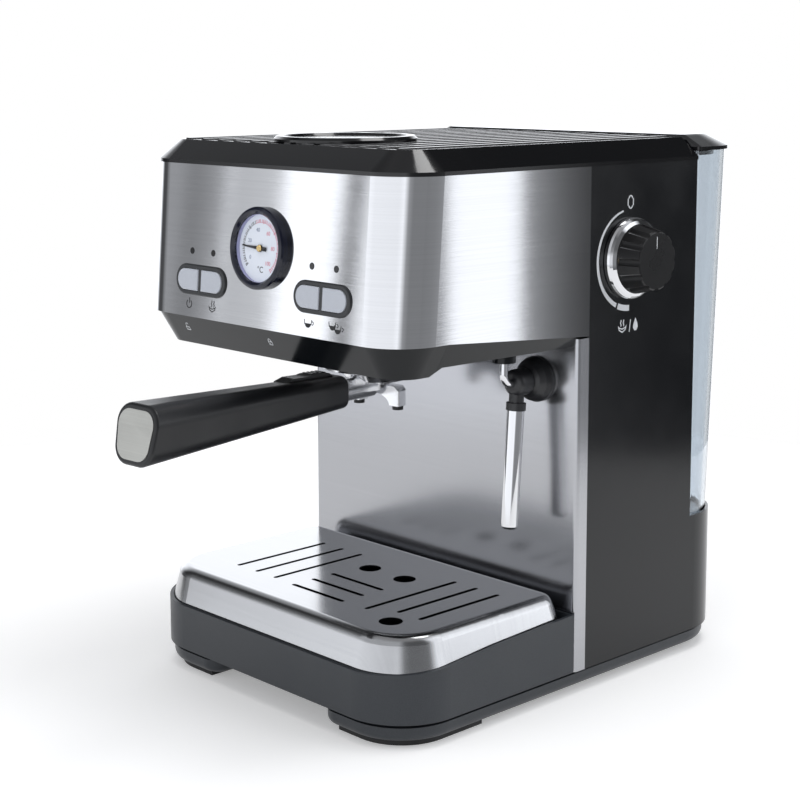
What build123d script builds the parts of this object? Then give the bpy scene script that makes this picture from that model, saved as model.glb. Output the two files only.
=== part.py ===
from build123d import *

import os
from math import atan2, cos, degrees, radians, sin, tan

"""Pump espresso machine, in millimetres, +Z up.

The machine is laid out from three planes: X = 0 is the middle of the body,
Y = 0 is the front face of the splash plate (the front of the machine is -Y)
and Z = 0 is the underside of the base plate, which stands on low feet. Every
piece is moved by FRAME when it is saved, so that the origin ends up on the
counter, under the middle of the whole machine.
"""

# Body
BODY_WIDTH = 210.0
TRAY_REACH = 129.0
COLUMN_DEPTH = 99.0
REAR_DEPTH = 43.0
BASE_REACH = COLUMN_DEPTH + REAR_DEPTH
TOP_Z = 279.7
HEAD_HEIGHT = 78.9
HEAD_EDGE_Z = TOP_Z - HEAD_HEIGHT
SEAM_Z = 9.5
FOOT_HEIGHT = 3.0
WALL = 2.5
SHEET = 1.0
GAP = 0.4
HALF = BODY_WIDTH / 2

# Base plate and feet
SEAM_INSET = 2.2
SEAM_GROOVE = 1.8
SEAM_DEPTH = 3.0
BASE_FRONT_R = 35.0
BASE_BACK_R = REAR_DEPTH - 5.0
BASE_EDGE_R = 4.5
BASE_RIM = 6.0
BASE_FLOOR = 2.0
FINGER_HALF = 43.0
FINGER_DEPTH = 28.0
FINGER_BACK = -TRAY_REACH + FINGER_DEPTH
FINGER_R = 11.0
FINGER_BACK_R = 6.0
FOOT_INSET = 7.0
FOOT_BACK_INSET = 17.0
FOOT_WIDTH = 12.0
FOOT_X = HALF - 52.0
FOOT_LENGTH = 58.0

# Drip tray and its cover
TRAY_BACK = -GAP
TRAY_WALL = 2.0
TRAY_RIM_BACK = 41.8
TRAY_RIM = ((1.05, 34.4), (0.78, 36.8), (0.46, 39.6), (0.0, TRAY_RIM_BACK))
TRAY_LEDGE_Z = 31.5
TRAY_LEDGE = 3.6
TRAY_FLOOR = 2.5
COVER_TOP = 53.0
COVER_LIP = 4.0
COVER_SLOPE = 4.5
COVER_BACK_SLOPE = 4.0
COVER_BACK_R = 10.0
COVER_EDGE_R = 6.0
SLOT_WIDTH = 2.8
SLOT_FRONT = -TRAY_REACH + 32.0
SLOT_BACK = TRAY_BACK - 29.6
SLOTS_ALONG_Y = (
    (-HALF + 44.4, SLOT_FRONT, SLOT_BACK - 2.0),
    (-HALF + 60.5, SLOT_FRONT, SLOT_BACK - 2.0),
    (-HALF + 76.5, SLOT_FRONT, SLOT_BACK - 2.0),
    (HALF - 59.2, SLOT_FRONT, SLOT_BACK),
    (HALF - 43.4, SLOT_FRONT + 8.0, SLOT_BACK),
    (HALF - 27.6, SLOT_FRONT + 8.0, SLOT_BACK),
)
SLOTS_ALONG_X = (
    (SLOT_FRONT, -12.5, 29.0),
    (SLOT_FRONT + 14.0, -12.5, 29.0),
    (SLOT_FRONT + 28.0, -12.5, 29.0),
)
DRAIN_HOLES = (
    (-5.0, SLOT_FRONT + 50.0),
    (22.8, SLOT_FRONT + 50.0),
    (HALF - 35.7, SLOT_FRONT - 4.0),
)
DRAIN_R = 6.2

# Column and splash plate
FLANGE_DEPTH = 8.5
PLATE_BEND_R = 2.5
BOSS_X = HALF - 16.0
BOSS_TOP = 30.0
SCREW_R = 1.7

# Rear base and water tank
SHELF_RIM_Z = 77.0
SHELF_Z = 73.0
SHELF_RIM = 1.6
TANK_FRONT = COLUMN_DEPTH + GAP
TANK_WALL = 2.2
TANK_FLARE = 10.3
TANK_TOP = TOP_Z + 4.5
TANK_CORNER_R = BASE_BACK_R - 2.0
TANK_SIDE = 1.5
OUTLET_FORWARD = 1.25
OUTLET_Y = (COLUMN_DEPTH + BASE_REACH - WALL) / 2 - OUTLET_FORWARD
OUTLET_R = 7.0
SEAL_R = 9.5
LID_LIP = 2.0
TANK_LID_TOP = TANK_TOP + 8.8
TANK_LID_SLOPE = 12.0
TANK_FOOT_BACK = BASE_REACH - SHELF_RIM - GAP
TANK_LID_BACK = TANK_FOOT_BACK + TANK_FLARE + 0.7
TANK_LID_R = TANK_CORNER_R + 1.0
HINGE_Y = TANK_LID_BACK + 2.2
HINGE_Z = TANK_TOP - 2.4
HINGE_R = 2.3
HINGE_PIN_R = 1.2
HINGE_X = HALF - 63.0
KNUCKLE = 10.0

# Head
HEAD_TILT = 4.2
HEAD_REACH = 129.5
HEAD_CORNER_R = 25.0
BAND_EDGE_Z = HEAD_EDGE_Z - 2.5
BAND_LEVEL_Y = -HEAD_REACH + 34.5
BAND_FALL = round((FLANGE_DEPTH - BAND_LEVEL_Y) * tan(radians(HEAD_TILT)), 1)
PLATE_TOP = BAND_EDGE_Z - BAND_FALL - 0.7
CHIN_DROP = 17.0
CHIN_SLOPE = 11.0
CHIN_COLLAR = 3.0
CHIN_STEP = (-HEAD_REACH + 28.5, -HEAD_REACH + 37.5)
CHIN_FLOOR_Z = HEAD_EDGE_Z - 15.3
CHIN_INSET = 1.2
LID_TOP = TOP_Z + 12.1
LID_SLOPE = 12.0
LID_OVERHANG = 0.6
LID_RECESS = 2.0
LID_BORDER = 4.0
RIB_PITCH = 14.0
RIB_WIDTH = 4.0
RIB_ROOM = BODY_WIDTH + 2 * (LID_OVERHANG - LID_SLOPE - LID_BORDER) - RIB_WIDTH
RIB_COUNT = 1 + int(RIB_ROOM / RIB_PITCH)
RIB_RISE = 0.6
DISC_Y = -HEAD_REACH + 61.5
DISC_R = 38.0
DISC_TOP = LID_TOP + 3.2
DISC_DISH_R = 33.0
DISC_DISH = 1.2

# Control panel, in the plane of the head's front face
PANEL_X = 1.0
GAUGE_UP = 38.6
BEZEL_R = 21.2
BEZEL_RISE = 4.6
DIAL_R = 17.6
CAN_R = 18.6
CAN_DEPTH = 12.0
PANEL_HALF = HALF - HEAD_CORNER_R
PAIR_X = (BEZEL_R + PANEL_HALF) / 2 - 1.6
PAIR_UP = 17.6
PILL = (42.6, 16.4)
PILL_BORDER = 2.2
PILL_RISE = 1.2
PILL_DEPTH = 6.0
DIVIDER = 2.2
BUTTON_RISE = 1.9
BUTTON_TRAVEL = 1.5
BUTTON_GAP = 0.3
BUTTON_STEM = 11.0
LAMP_R = 1.8
LAMP_X = 9.1
LAMP_UP = 32.9
BOARD_BACK = 15.0
BOARD_UP = (5.0, 46.0)
POST_UP = (9.0, 42.0)
POST_X = PAIR_X + PILL[0] / 2 - 0.3
NEEDLE_ANGLE = 177.0

# Brew group and filter holder
GROUP_R = 42.0
BREW_Y = -GROUP_R - 3.0
GROUP_BOTTOM = HEAD_EDGE_Z - 21.3
GROUP_TOP = GROUP_BOTTOM + 18.5
LEDGE_TOP = GROUP_BOTTOM + 4.8
LUG_HEIGHT = 4.0
LUG_HALF_ANGLE = 18.0
LOCK_TURN = 40.0
HANDLE_ANGLE = 4.0
BOWL_R = 31.0
LUG_R = 35.8
SCREEN_R = 24.0
GASKET_HEIGHT = 4.5
BOWL_BOTTOM = LEDGE_TOP - 15.7
BOWL_WALL = 1.8
SPOUT_X = 14.5
SPOUT_TOP = BOWL_BOTTOM - 8.6
SPOUT_Z = SPOUT_TOP - 14.0
SPOUT_LEG = 6.6
SPOUT_HALF_DEPTH = 3.5
TIP_R = 3.0
TIP_HEIGHT = 2.2
HANDLE_Z = BOWL_BOTTOM - 9.8
HANDLE_DROP = 1.5
HANDLE_ROOT = 31.4
HANDLE_END = 169.5
HANDLE_LEAN = 12.0
HANDLE_ROUND = 0.33
ROOT_SIZE = (17.6, 17.6)
END_SIZE = (33.0, 29.6)
END_TAPER = 3.0
NECK_R = 6.5
NECK_START = 7.0
NECK_DEPTH = 14.0
CLIP_START = 37.0
CLIP_END = 72.0
CLIP_RISE = 0.2
CLIP_THICK = 3.0
CLIP_WIDTH = 9.0
CLIP_PIN_R = 0.7
CLIP_PIN_OUT = 2.2
CLIP_PIN_DOWN = 1.6
CLIP_PAD = 16.0
CLIP_PAD_RISE = 0.6
CLIP_RAMP = 6.0

# Boiler
BOILER_R = 36.0
BOILER_FLANGE_R = 42.0
BOILER_DEPTH = 24.0
BOILER_COVER = 21.0
BOILER_SPLIT = GROUP_TOP + BOILER_DEPTH
BOILER_TOP = BOILER_SPLIT + BOILER_COVER

# Steam knob and valve
KNOB_Y = 41.0
KNOB_Z = TOP_Z - 50.2
SKIRT_R = 21.8
SKIRT_HEIGHT = 6.0
KNOB_R = 18.6
KNOB_FACE_R = 15.6
KNOB_HEIGHT = 18.5
STEM_R = 3.0
VALVE_SIZE = (30.0, 22.0, 22.0)
FLUTES = 12

# Steam wand
WAND_X = HALF - 29.0
WAND_Y = -15.2
WAND_Z = PLATE_TOP - 24.5
WAND_LEAN = 4.0
DOME_R = 12.3
DOME_DEPTH = 9.5
PIPE_Y = -25.7
PIPE_R = 2.2
PIPE_TOP = PLATE_TOP + 13.0
ELBOW_R = 7.2
ARM_R = 4.0
ARM_LENGTH = 11.3
COLLAR_R = 5.3
TUBE_R = 4.65
TUBE_END = 78.5

# Pump and hoses
PUMP_X = -BOILER_FLANGE_R - 10.0
PUMP_Z = 44.0
PUMP_R = 14.0
PUMP_Y = (COLUMN_DEPTH - 63.0, COLUMN_DEPTH - 11.0)
COIL_Y = (PUMP_Y[0] + 8.0, PUMP_Y[1] - 10.0)
COIL_SIZE = 42.0
HOSE_R = 3.6
HOSE_BEND = 10.0
GLAND = (-HALF + 50.0, 28.0)
GLAND_R = 7.0
LEAD_R = 3.6
CONTROL_Y = (24.0, 84.0)
CONTROL_Z = (110.0, 200.0)

FRONT_TOP = -HEAD_REACH + (TOP_Z - HEAD_EDGE_Z) * tan(radians(HEAD_TILT))
LUG_Z = LEDGE_TOP + GAP
BOWL_TOP = LUG_Z + LUG_HEIGHT
GASKET_Z = BOWL_TOP + 0.8 + GAP
HANDLE_LENGTH = HANDLE_END - HANDLE_ROOT
HANDLE_RISE = ((END_SIZE[1] - ROOT_SIZE[1]) / 2 - HANDLE_DROP) / HANDLE_LENGTH

HEAD = Plane(
    origin=(0, -HEAD_REACH, HEAD_EDGE_Z),
    x_dir=(1, 0, 0),
    z_dir=(0, sin(radians(HEAD_TILT)), cos(radians(HEAD_TILT))),
)
PANEL = Plane(
    origin=(0, -HEAD_REACH, HEAD_EDGE_Z),
    x_dir=(1, 0, 0),
    z_dir=(0, -cos(radians(HEAD_TILT)), sin(radians(HEAD_TILT))),
)
KNOB = Plane(origin=(HALF, KNOB_Y, KNOB_Z), x_dir=(0, 1, 0), z_dir=(1, 0, 0))
HOLDER = Pos(0, BREW_Y, 0) * Rot(0, 0, HANDLE_ANGLE)
CLIP = HOLDER * Plane(
    origin=(0, -CLIP_START, HANDLE_Z + ROOT_SIZE[1] / 2 + HANDLE_RISE * (CLIP_START - HANDLE_ROOT)),
    x_dir=(1, 0, 0),
    z_dir=(0, HANDLE_RISE, 1),
)
WAND = Pos(WAND_X, WAND_Y, WAND_Z) * Rot(-WAND_LEAN, 0, 0)

X_SPAN = (-HALF - LID_OVERHANG, HALF + KNOB_HEIGHT)
HANDLE_TIP = HANDLE_END + 0.42 * END_SIZE[1] * tan(radians(HANDLE_LEAN))
Y_SPAN = (BREW_Y - HANDLE_TIP * cos(radians(HANDLE_ANGLE)), HINGE_Y + HINGE_R)
FRAME = Pos(-sum(X_SPAN) / 2, -sum(Y_SPAN) / 2, FOOT_HEIGHT)


def outline(half_width, front, back, front_radius, back_radius):
    """Rectangle in plan with its own corner radius in front and behind."""
    sketch = Pos(0, (front + back) / 2) * Rectangle(2 * half_width, back - front)
    if front_radius:
        sketch = fillet(sketch.vertices().group_by(Axis.Y)[0], front_radius)
    if back_radius:
        sketch = fillet(sketch.vertices().group_by(Axis.Y)[-1], back_radius)
    return sketch


def prism(sketch, bottom, top):
    """Straight block over a plan outline, between two heights."""
    return extrude(Pos(0, 0, bottom) * sketch, top - bottom)


def frustum(low_sketch, low, high_sketch, high):
    """Block with flat sloping sides between two plan outlines."""
    return loft([Pos(0, 0, low) * low_sketch, Pos(0, 0, high) * high_sketch], ruled=True)


def block(x_range, y_range, z_range):
    """Box given by its range along each axis."""
    spans = (x_range, y_range, z_range)
    middle = [sum(span) / 2 for span in spans]
    size = [span[1] - span[0] for span in spans]
    return Pos(*middle) * Box(*size)


def rod(radius, bottom, top, x=0.0, y=0.0):
    """Cylinder along Z between two heights."""
    return Pos(x, y, (bottom + top) / 2) * Cylinder(radius, top - bottom)


def ring(outer, inner, bottom, top):
    """Flat ring along Z between two heights."""
    return rod(outer, bottom, top) - rod(inner, bottom - 1, top + 1)


def turned(*points):
    """Solid of revolution about Z from (radius, height) points."""
    face = make_face(Plane.XZ * Polyline(*points, close=True))
    return revolve(face, Axis.Z)


def side_prism(points, half_width):
    """Prism along X over a (Y, Z) polygon."""
    face = make_face(Plane.YZ * Polyline(*points, close=True))
    return extrude(face, half_width, both=True)


def tube(points, radius, bend, bore=0.0):
    """Round bar or pipe along straight runs joined by bends."""
    path = FilletPolyline(*points, radius=bend)
    start = Plane(origin=path @ 0, z_dir=path % 0)
    section = start * Circle(radius)
    if bore:
        section -= start * Circle(bore)
    return sweep(section, path)


def group(*solids):
    """Separate solids that share one node."""
    return Part() + list(solids)


def base_outline(inset):
    """Plan of the base, pulled in by an inset."""
    return outline(
        HALF - inset,
        -TRAY_REACH + inset,
        BASE_REACH - inset,
        BASE_FRONT_R - inset,
        BASE_BACK_R - inset,
    )


def tray_outline(inset, back=TRAY_BACK):
    """Plan of the drip tray, pulled in by an inset."""
    return outline(HALF - inset, -TRAY_REACH + inset, back, BASE_FRONT_R - inset, 0)


def screw_places():
    """Where the screws that hold the base plate stand."""
    rear = COLUMN_DEPTH - 14.0
    front = FLANGE_DEPTH + 8.0
    return [(side * BOSS_X, y) for side in (-1, 1) for y in (front, rear)]


def finger_cut(margin):
    """Plan of the finger gap at the front, grown by a margin."""
    front = -TRAY_REACH - 20
    back = FINGER_BACK + margin
    return Pos(0, (front + back) / 2) * Rectangle(2 * (FINGER_HALF + margin), back - front)


def base_plan(inset, finger_radius):
    """Plan of the base with its finger gap, all corners rounded."""
    plan = base_outline(inset) - finger_cut(0)
    corners = plan.vertices().filter_by(lambda v: abs(abs(v.X) - FINGER_HALF) < 0.01)
    rows = corners.group_by(Axis.Y)
    plan = fillet(rows[0], finger_radius)
    corners = plan.vertices().filter_by(lambda v: abs(v.Y - FINGER_BACK) < 0.01)
    return fillet(corners, FINGER_BACK_R)


def base_plate():
    groove_z = SEAM_Z - SEAM_GROOVE
    plate = prism(base_plan(SEAM_INSET, FINGER_R), 0, groove_z)
    plate = fillet(plate.faces().sort_by(Axis.Z)[0].edges(), BASE_EDGE_R)
    plate += prism(base_plan(SEAM_INSET + SEAM_DEPTH, FINGER_R - SEAM_DEPTH), groove_z, SEAM_Z)
    hollow = base_outline(SEAM_INSET + BASE_RIM) - finger_cut(4.0)
    plate -= prism(hollow, BASE_FLOOR, SEAM_Z + 1)
    for x, y in screw_places():
        plate += rod(SCREW_R + 3.0, BASE_FLOOR - 1, SEAM_Z, x, y)
        plate -= rod(SCREW_R + 0.15, -1, SEAM_Z + 1, x, y)
    return plate


def foot_strip(inset):
    """Low rubber strip all round under the base, pulled in by an inset."""
    band = base_outline(inset) - base_outline(inset + FOOT_WIDTH)
    return prism(band, -FOOT_HEIGHT, 0)


def rubber_feet():
    front = (-TRAY_REACH, -TRAY_REACH + FOOT_INSET + FOOT_LENGTH)
    back = (BASE_REACH - FOOT_INSET - FOOT_LENGTH + 12, BASE_REACH)
    pads = []
    for inset, y_range in ((FOOT_INSET, front), (FOOT_BACK_INSET, back)):
        strip = foot_strip(inset)
        for x_range in ((-HALF, -FOOT_X), (FOOT_X, HALF)):
            pads.append(strip & block(x_range, y_range, (-FOOT_HEIGHT, 0)))
    return group(*pads)


def base_screws():
    head = rod(SCREW_R * 1.9, -1.6, 0)
    screw = head + rod(SCREW_R, 0, BOSS_TOP - 8)
    return group(*[Pos(x, y, 0) * screw for x, y in screw_places()])


def tray_housing():
    bottom = SEAM_Z + GAP
    body = prism(tray_outline(0), bottom, TRAY_RIM_BACK)
    rim_cut = [(-share * TRAY_REACH, height) for share, height in TRAY_RIM]
    rim_cut += [(0, TRAY_RIM_BACK + 9), (-TRAY_RIM[0][0] * TRAY_REACH, TRAY_RIM_BACK + 9)]
    body -= side_prism(rim_cut, BODY_WIDTH)
    body -= prism(tray_outline(TRAY_WALL, TRAY_BACK - TRAY_WALL), TRAY_LEDGE_Z, TRAY_RIM_BACK + 1)
    ledge = TRAY_WALL + TRAY_LEDGE
    body -= prism(tray_outline(ledge, TRAY_BACK - ledge), TRAY_LEDGE_Z - 4, TRAY_LEDGE_Z + 1)
    well_bottom = bottom + TRAY_FLOOR
    body -= prism(tray_outline(TRAY_WALL, TRAY_BACK - TRAY_WALL), well_bottom, TRAY_LEDGE_Z - 3)
    return fillet(body.edges().filter_by(Axis.Z).group_by(Axis.Y)[-1], 0.6)


def cover_shape(inset, drop):
    """Domed block for the drip cover; a second one, smaller, hollows it."""
    foot = TRAY_WALL + GAP + inset
    back = TRAY_BACK - TRAY_WALL - GAP - inset
    back_radius = COVER_BACK_R - inset
    low = outline(HALF - foot, -TRAY_REACH + foot, back, BASE_FRONT_R - foot, back_radius)
    crown = foot + COVER_SLOPE
    high = outline(
        HALF - crown,
        -TRAY_REACH + crown,
        back - COVER_BACK_SLOPE,
        BASE_FRONT_R - crown,
        back_radius - 1.0,
    )
    lip_top = TRAY_LEDGE_Z + COVER_LIP
    body = prism(low, TRAY_LEDGE_Z - drop, lip_top)
    body += frustum(low, lip_top, high, COVER_TOP - drop)
    return fillet(body.faces().sort_by(Axis.Z)[-1].edges(), COVER_EDGE_R - inset)


def tray_grid():
    cover = cover_shape(0, 0) - cover_shape(SHEET, SHEET)
    for x, y0, y1 in SLOTS_ALONG_Y:
        slot = SlotOverall(y1 - y0, SLOT_WIDTH, rotation=90)
        cover -= extrude(Pos(x, (y0 + y1) / 2, COVER_TOP - 5) * slot, 10)
    for y, x0, x1 in SLOTS_ALONG_X:
        slot = SlotOverall(x1 - x0, SLOT_WIDTH)
        cover -= extrude(Pos((x0 + x1) / 2, y, COVER_TOP - 5) * slot, 10)
    for x, y in DRAIN_HOLES:
        cover -= rod(DRAIN_R, COVER_TOP - 5, COVER_TOP + 5, x, y)
    return cover


def splash_plate():
    outer = outline(HALF, 0, FLANGE_DEPTH, PLATE_BEND_R, 0)
    inner = outline(HALF - SHEET, SHEET, FLANGE_DEPTH + 1, PLATE_BEND_R - SHEET, 0)
    plate = prism(outer - inner, SEAM_Z, PLATE_TOP)
    spigot = Pos(WAND_X, 0, WAND_Z) * Rot(90, 0, 0) * Cylinder(4.0, 20)
    return plate - spigot


def column_shell():
    outer = outline(HALF, FLANGE_DEPTH, COLUMN_DEPTH, 0, 0)
    inner = outline(HALF - WALL, 0, COLUMN_DEPTH - WALL, 0, 0)
    shell = prism(outer - inner, SEAM_Z, TOP_Z)
    for x, y in screw_places():
        wall_x = (HALF - 1) * (1 if x > 0 else -1)
        near, far = sorted((x - 6 * (1 if x > 0 else -1), wall_x))
        shell += block((near, far), (y - 5, y + 5), (SEAM_Z, BOSS_TOP))
        shell -= rod(SCREW_R, SEAM_Z - 1, BOSS_TOP - 8, x, y)
    shell -= KNOB * rod(STEM_R + 3.0, -10, 10)
    shell -= Pos(PUMP_X, COLUMN_DEPTH, PUMP_Z) * Rot(90, 0, 0) * Cylinder(HOSE_R + 2, 20)
    return shell


def rear_outline(inset, front=COLUMN_DEPTH):
    """Plan of the rear base, pulled in by an inset at the sides and back."""
    return outline(HALF - inset, front, BASE_REACH - inset, 0, BASE_BACK_R - inset)


def rear_base():
    body = prism(rear_outline(0), SEAM_Z, SHELF_RIM_Z)
    body -= prism(rear_outline(SHELF_RIM, COLUMN_DEPTH - 1), SHELF_Z, SHELF_RIM_Z + 1)
    body -= prism(rear_outline(WALL, COLUMN_DEPTH - 1), SEAM_Z - 1, SHELF_Z - WALL)
    body -= rod(SEAL_R, SHELF_Z - 10, SHELF_Z + 1, 0, OUTLET_Y)
    gland_x, gland_z = GLAND
    body -= Pos(gland_x, BASE_REACH, gland_z) * Rot(90, 0, 0) * Cylinder(GLAND_R, 20)
    return body


def cord_gland():
    gland = rod(GLAND_R + 2.5, 0, 3.0) + rod(GLAND_R, -8.0, 0)
    gland += rod(GLAND_R - 1.2, 3.0, 7.0)
    gland -= rod(LEAD_R, -9.0, 8.0)
    gland_x, gland_z = GLAND
    return Pos(gland_x, BASE_REACH, gland_z) * Rot(-90, 0, 0) * gland


def tank_seal():
    seal = ring(SEAL_R, OUTLET_R + GAP, SHELF_Z - WALL, SHELF_Z - 0.2)
    return Pos(0, OUTLET_Y, 0) * seal


def tank_shape(inset, low, high):
    """Tapered block for the tank; a second one, smaller, hollows it."""
    foot = SHELF_RIM + GAP + inset
    front = TANK_FRONT + inset
    low_back = BASE_REACH - foot
    high_half = HALF - TANK_SIDE - inset
    front_radius = 3.0 - inset
    low_plan = outline(HALF - foot, front, low_back, front_radius, BASE_BACK_R - foot)
    high_plan = outline(
        high_half,
        front,
        low_back + TANK_FLARE,
        front_radius,
        TANK_CORNER_R - inset,
    )
    return frustum(low_plan, low, high_plan, high)


def hinge_eye(x, radius, width):
    """Round eye on the axis of the tank lid's hinge."""
    return Pos(x, HINGE_Y, HINGE_Z) * Rot(0, 90, 0) * Cylinder(radius, width)


def tank_shell():
    floor = SHELF_Z + GAP
    tank = tank_shape(0, floor, TANK_TOP)
    tank -= tank_shape(TANK_WALL, floor + TANK_WALL, TANK_TOP + 0.01)
    tank -= rod(OUTLET_R, floor - 1, floor + 5, 0, OUTLET_Y)
    wall_y = TANK_FOOT_BACK + TANK_FLARE - 1.5
    for side in (-1, 1):
        x = side * HINGE_X
        tank += hinge_eye(x, HINGE_R - 0.3, KNUCKLE)
        low = HINGE_Z - HINGE_R + 0.3
        tank += block((x - KNUCKLE / 2, x + KNUCKLE / 2), (wall_y, HINGE_Y), (low, HINGE_Z + 1.2))
        pin_x = x + side * KNUCKLE
        tank += hinge_eye(pin_x - side * KNUCKLE / 2, HINGE_PIN_R, KNUCKLE * 1.8)
    return tank


def tank_valve():
    floor = SHELF_Z + GAP
    valve = ring(OUTLET_R, OUTLET_R - 2.0, floor - 6.5, floor + TANK_WALL)
    valve += ring(OUTLET_R + 3.5, OUTLET_R - 3.5, floor + TANK_WALL, floor + TANK_WALL + 2.5)
    valve += ring(OUTLET_R - 1.0, OUTLET_R - 3.5, floor + TANK_WALL, floor + TANK_WALL + 14)
    return Pos(0, OUTLET_Y, 0) * valve


def tank_lid_crown(inset):
    """Plan of the tank lid's top, pulled in by an inset."""
    front = TANK_FRONT + GAP + inset / 6
    back = TANK_LID_BACK - inset
    return outline(HALF + LID_OVERHANG - inset, front, back, 2.0, TANK_LID_R - inset)


def tank_lid():
    low_z = TANK_TOP + GAP
    plan = outline(HALF + LID_OVERHANG, TANK_FRONT + GAP, TANK_LID_BACK, 2.0, TANK_LID_R)
    crown = tank_lid_crown(TANK_LID_SLOPE)
    lid = prism(plan, low_z, low_z + LID_LIP)
    lid += frustum(plan, low_z + LID_LIP, crown, TANK_LID_TOP - 0.6)
    lid += frustum(crown, TANK_LID_TOP - 0.6, tank_lid_crown(TANK_LID_SLOPE + 1.4), TANK_LID_TOP)
    inner = outline(HALF - 4.0, TANK_FRONT + 4.0, TANK_LID_BACK - 4.5, 2.0, TANK_LID_R - 4.0)
    inner_top = outline(HALF - 13.5, TANK_FRONT + 5.0, TANK_LID_BACK - 14.0, 2.0, TANK_LID_R - 13.0)
    lid -= frustum(inner, low_z - 1, inner_top, TANK_LID_TOP - WALL)
    skirt = outline(HALF - 6.5, TANK_FRONT + 5.0, TANK_LID_BACK - 9.0, 2.0, TANK_LID_R - 7.0)
    skirt_in = outline(HALF - 8.5, TANK_FRONT + 7.0, TANK_LID_BACK - 11.0, 2.0, TANK_LID_R - 9.0)
    lid += prism(skirt - skirt_in, low_z - 3.0, low_z + 4.0)
    for side in (-1, 1):
        x = side * (HINGE_X + KNUCKLE + 2 * GAP)
        eye = hinge_eye(x, HINGE_R, KNUCKLE - GAP)
        half = (KNUCKLE - GAP) / 2
        hinge_back = HINGE_Y + HINGE_R
        x_range = (x - half, x + half)
        eye += block(x_range, (HINGE_Y - HINGE_R, hinge_back), (HINGE_Z, low_z + LID_LIP))
        eye += block(x_range, (TANK_LID_BACK - 1.2, hinge_back), (low_z, low_z + LID_LIP))
        lid += eye - hinge_eye(x, HINGE_PIN_R + 0.1, KNUCKLE * 2)
    return lid


def head_clip():
    """Space the head band may fill: below the lid, ahead of the column."""
    return block((-BODY_WIDTH, BODY_WIDTH), (-300, FLANGE_DEPTH), (0, TOP_Z))


def head_outline(inset):
    """Plan of the head in its own tilted plane, open at the back."""
    return outline(HALF - inset, inset, HEAD_REACH + 60, HEAD_CORNER_R - inset, 0)


def pill(size, border):
    """Pill outline, pulled in by a border."""
    width, height = size
    return SlotOverall(width - 2 * border, height - 2 * border)


def panel_places():
    """Middles of the two button pairs, in the panel plane."""
    return [(PANEL_X - PAIR_X, PAIR_UP), (PANEL_X + PAIR_X, PAIR_UP)]


def lamp_places():
    """Middles of the four indicator lights, in the panel plane."""
    middles = [x for x, _ in panel_places()]
    return [(x + side * LAMP_X, LAMP_UP) for x in middles for side in (-1, 1)]


def panel_holes(depth, slack):
    """Tool that opens a panel for the gauge, the buttons and the lights."""
    tools = rod(CAN_R + slack, -depth, 1, PANEL_X, GAUGE_UP)
    for x, up in panel_places():
        tools += extrude(Pos(x, up, -depth) * pill(PILL, PILL_BORDER / 2 - slack), depth + 1)
    for x, up in lamp_places():
        tools += rod(LAMP_R, -depth, 1, x, up)
    return PANEL * tools


def band_edge():
    """Everything under the band's lower edge, which is level in front."""
    fall = (FLANGE_DEPTH - BAND_LEVEL_Y) * tan(radians(HEAD_TILT))
    return [
        (-200, 0),
        (-200, BAND_EDGE_Z),
        (BAND_LEVEL_Y, BAND_EDGE_Z),
        (FLANGE_DEPTH, BAND_EDGE_Z - fall),
        (50, BAND_EDGE_Z - fall),
        (50, 0),
    ]


def head_band():
    outer = HEAD * prism(head_outline(0), -10, 130)
    band = outer & head_clip()
    band -= HEAD * prism(head_outline(SHEET), -15, 140)
    band -= side_prism(band_edge(), BODY_WIDTH)
    return band - panel_holes(SHEET + 2, 0.1)


def panel_frame():
    back = -SHEET
    half = PANEL_HALF - 4
    plate = block((-half, half), (4, 66), (back - 2.0, back))
    frame = PANEL * plate - panel_holes(6, 0.3)
    for x in (-POST_X, POST_X):
        for up in POST_UP:
            frame += PANEL * rod(3.0, -BOARD_BACK, back - 1.0, x, up)
    return frame


def button_board():
    thick = 1.6
    half = PANEL_HALF - 2
    board = block((-half, half), BOARD_UP, (-BOARD_BACK - thick, -BOARD_BACK))
    board -= rod(CAN_R + 2, -BOARD_BACK - 5, 0, PANEL_X, GAUGE_UP)
    board -= block(
        (PANEL_X - CAN_R - 2, PANEL_X + CAN_R + 2),
        (GAUGE_UP, 60),
        (-BOARD_BACK - 5, 0),
    )
    for x, up, _ in button_places():
        switch = block((x - 3, x + 3), (up - 3, up + 3), (-BOARD_BACK, -BOARD_BACK + 1.2))
        board += switch
    for x, up in lamp_places():
        board += rod(LAMP_R - 0.6, -BOARD_BACK, -6.2, x, up)
    return PANEL * board


def gauge_case():
    bezel = turned(
        (CAN_R, 0),
        (BEZEL_R, 0),
        (BEZEL_R, BEZEL_RISE - 1.6),
        (BEZEL_R - 0.5, BEZEL_RISE - 0.5),
        (BEZEL_R - 1.6, BEZEL_RISE),
        (DIAL_R + 1.2, BEZEL_RISE),
        (DIAL_R, BEZEL_RISE - 1.2),
        (DIAL_R, -CAN_DEPTH + 1.5),
        (0, -CAN_DEPTH + 1.5),
        (0, -CAN_DEPTH),
        (CAN_R, -CAN_DEPTH),
    )
    return PANEL * Pos(PANEL_X, GAUGE_UP, 0) * bezel


def gauge_dial():
    dial = rod(DIAL_R, -0.4, 0.4) - rod(1.0, -2, 2)
    return PANEL * Pos(PANEL_X, GAUGE_UP, 0) * dial


def gauge_glass():
    glass = rod(DIAL_R, BEZEL_RISE - 2.2, BEZEL_RISE - 1.4)
    return PANEL * Pos(PANEL_X, GAUGE_UP, 0) * glass


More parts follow.
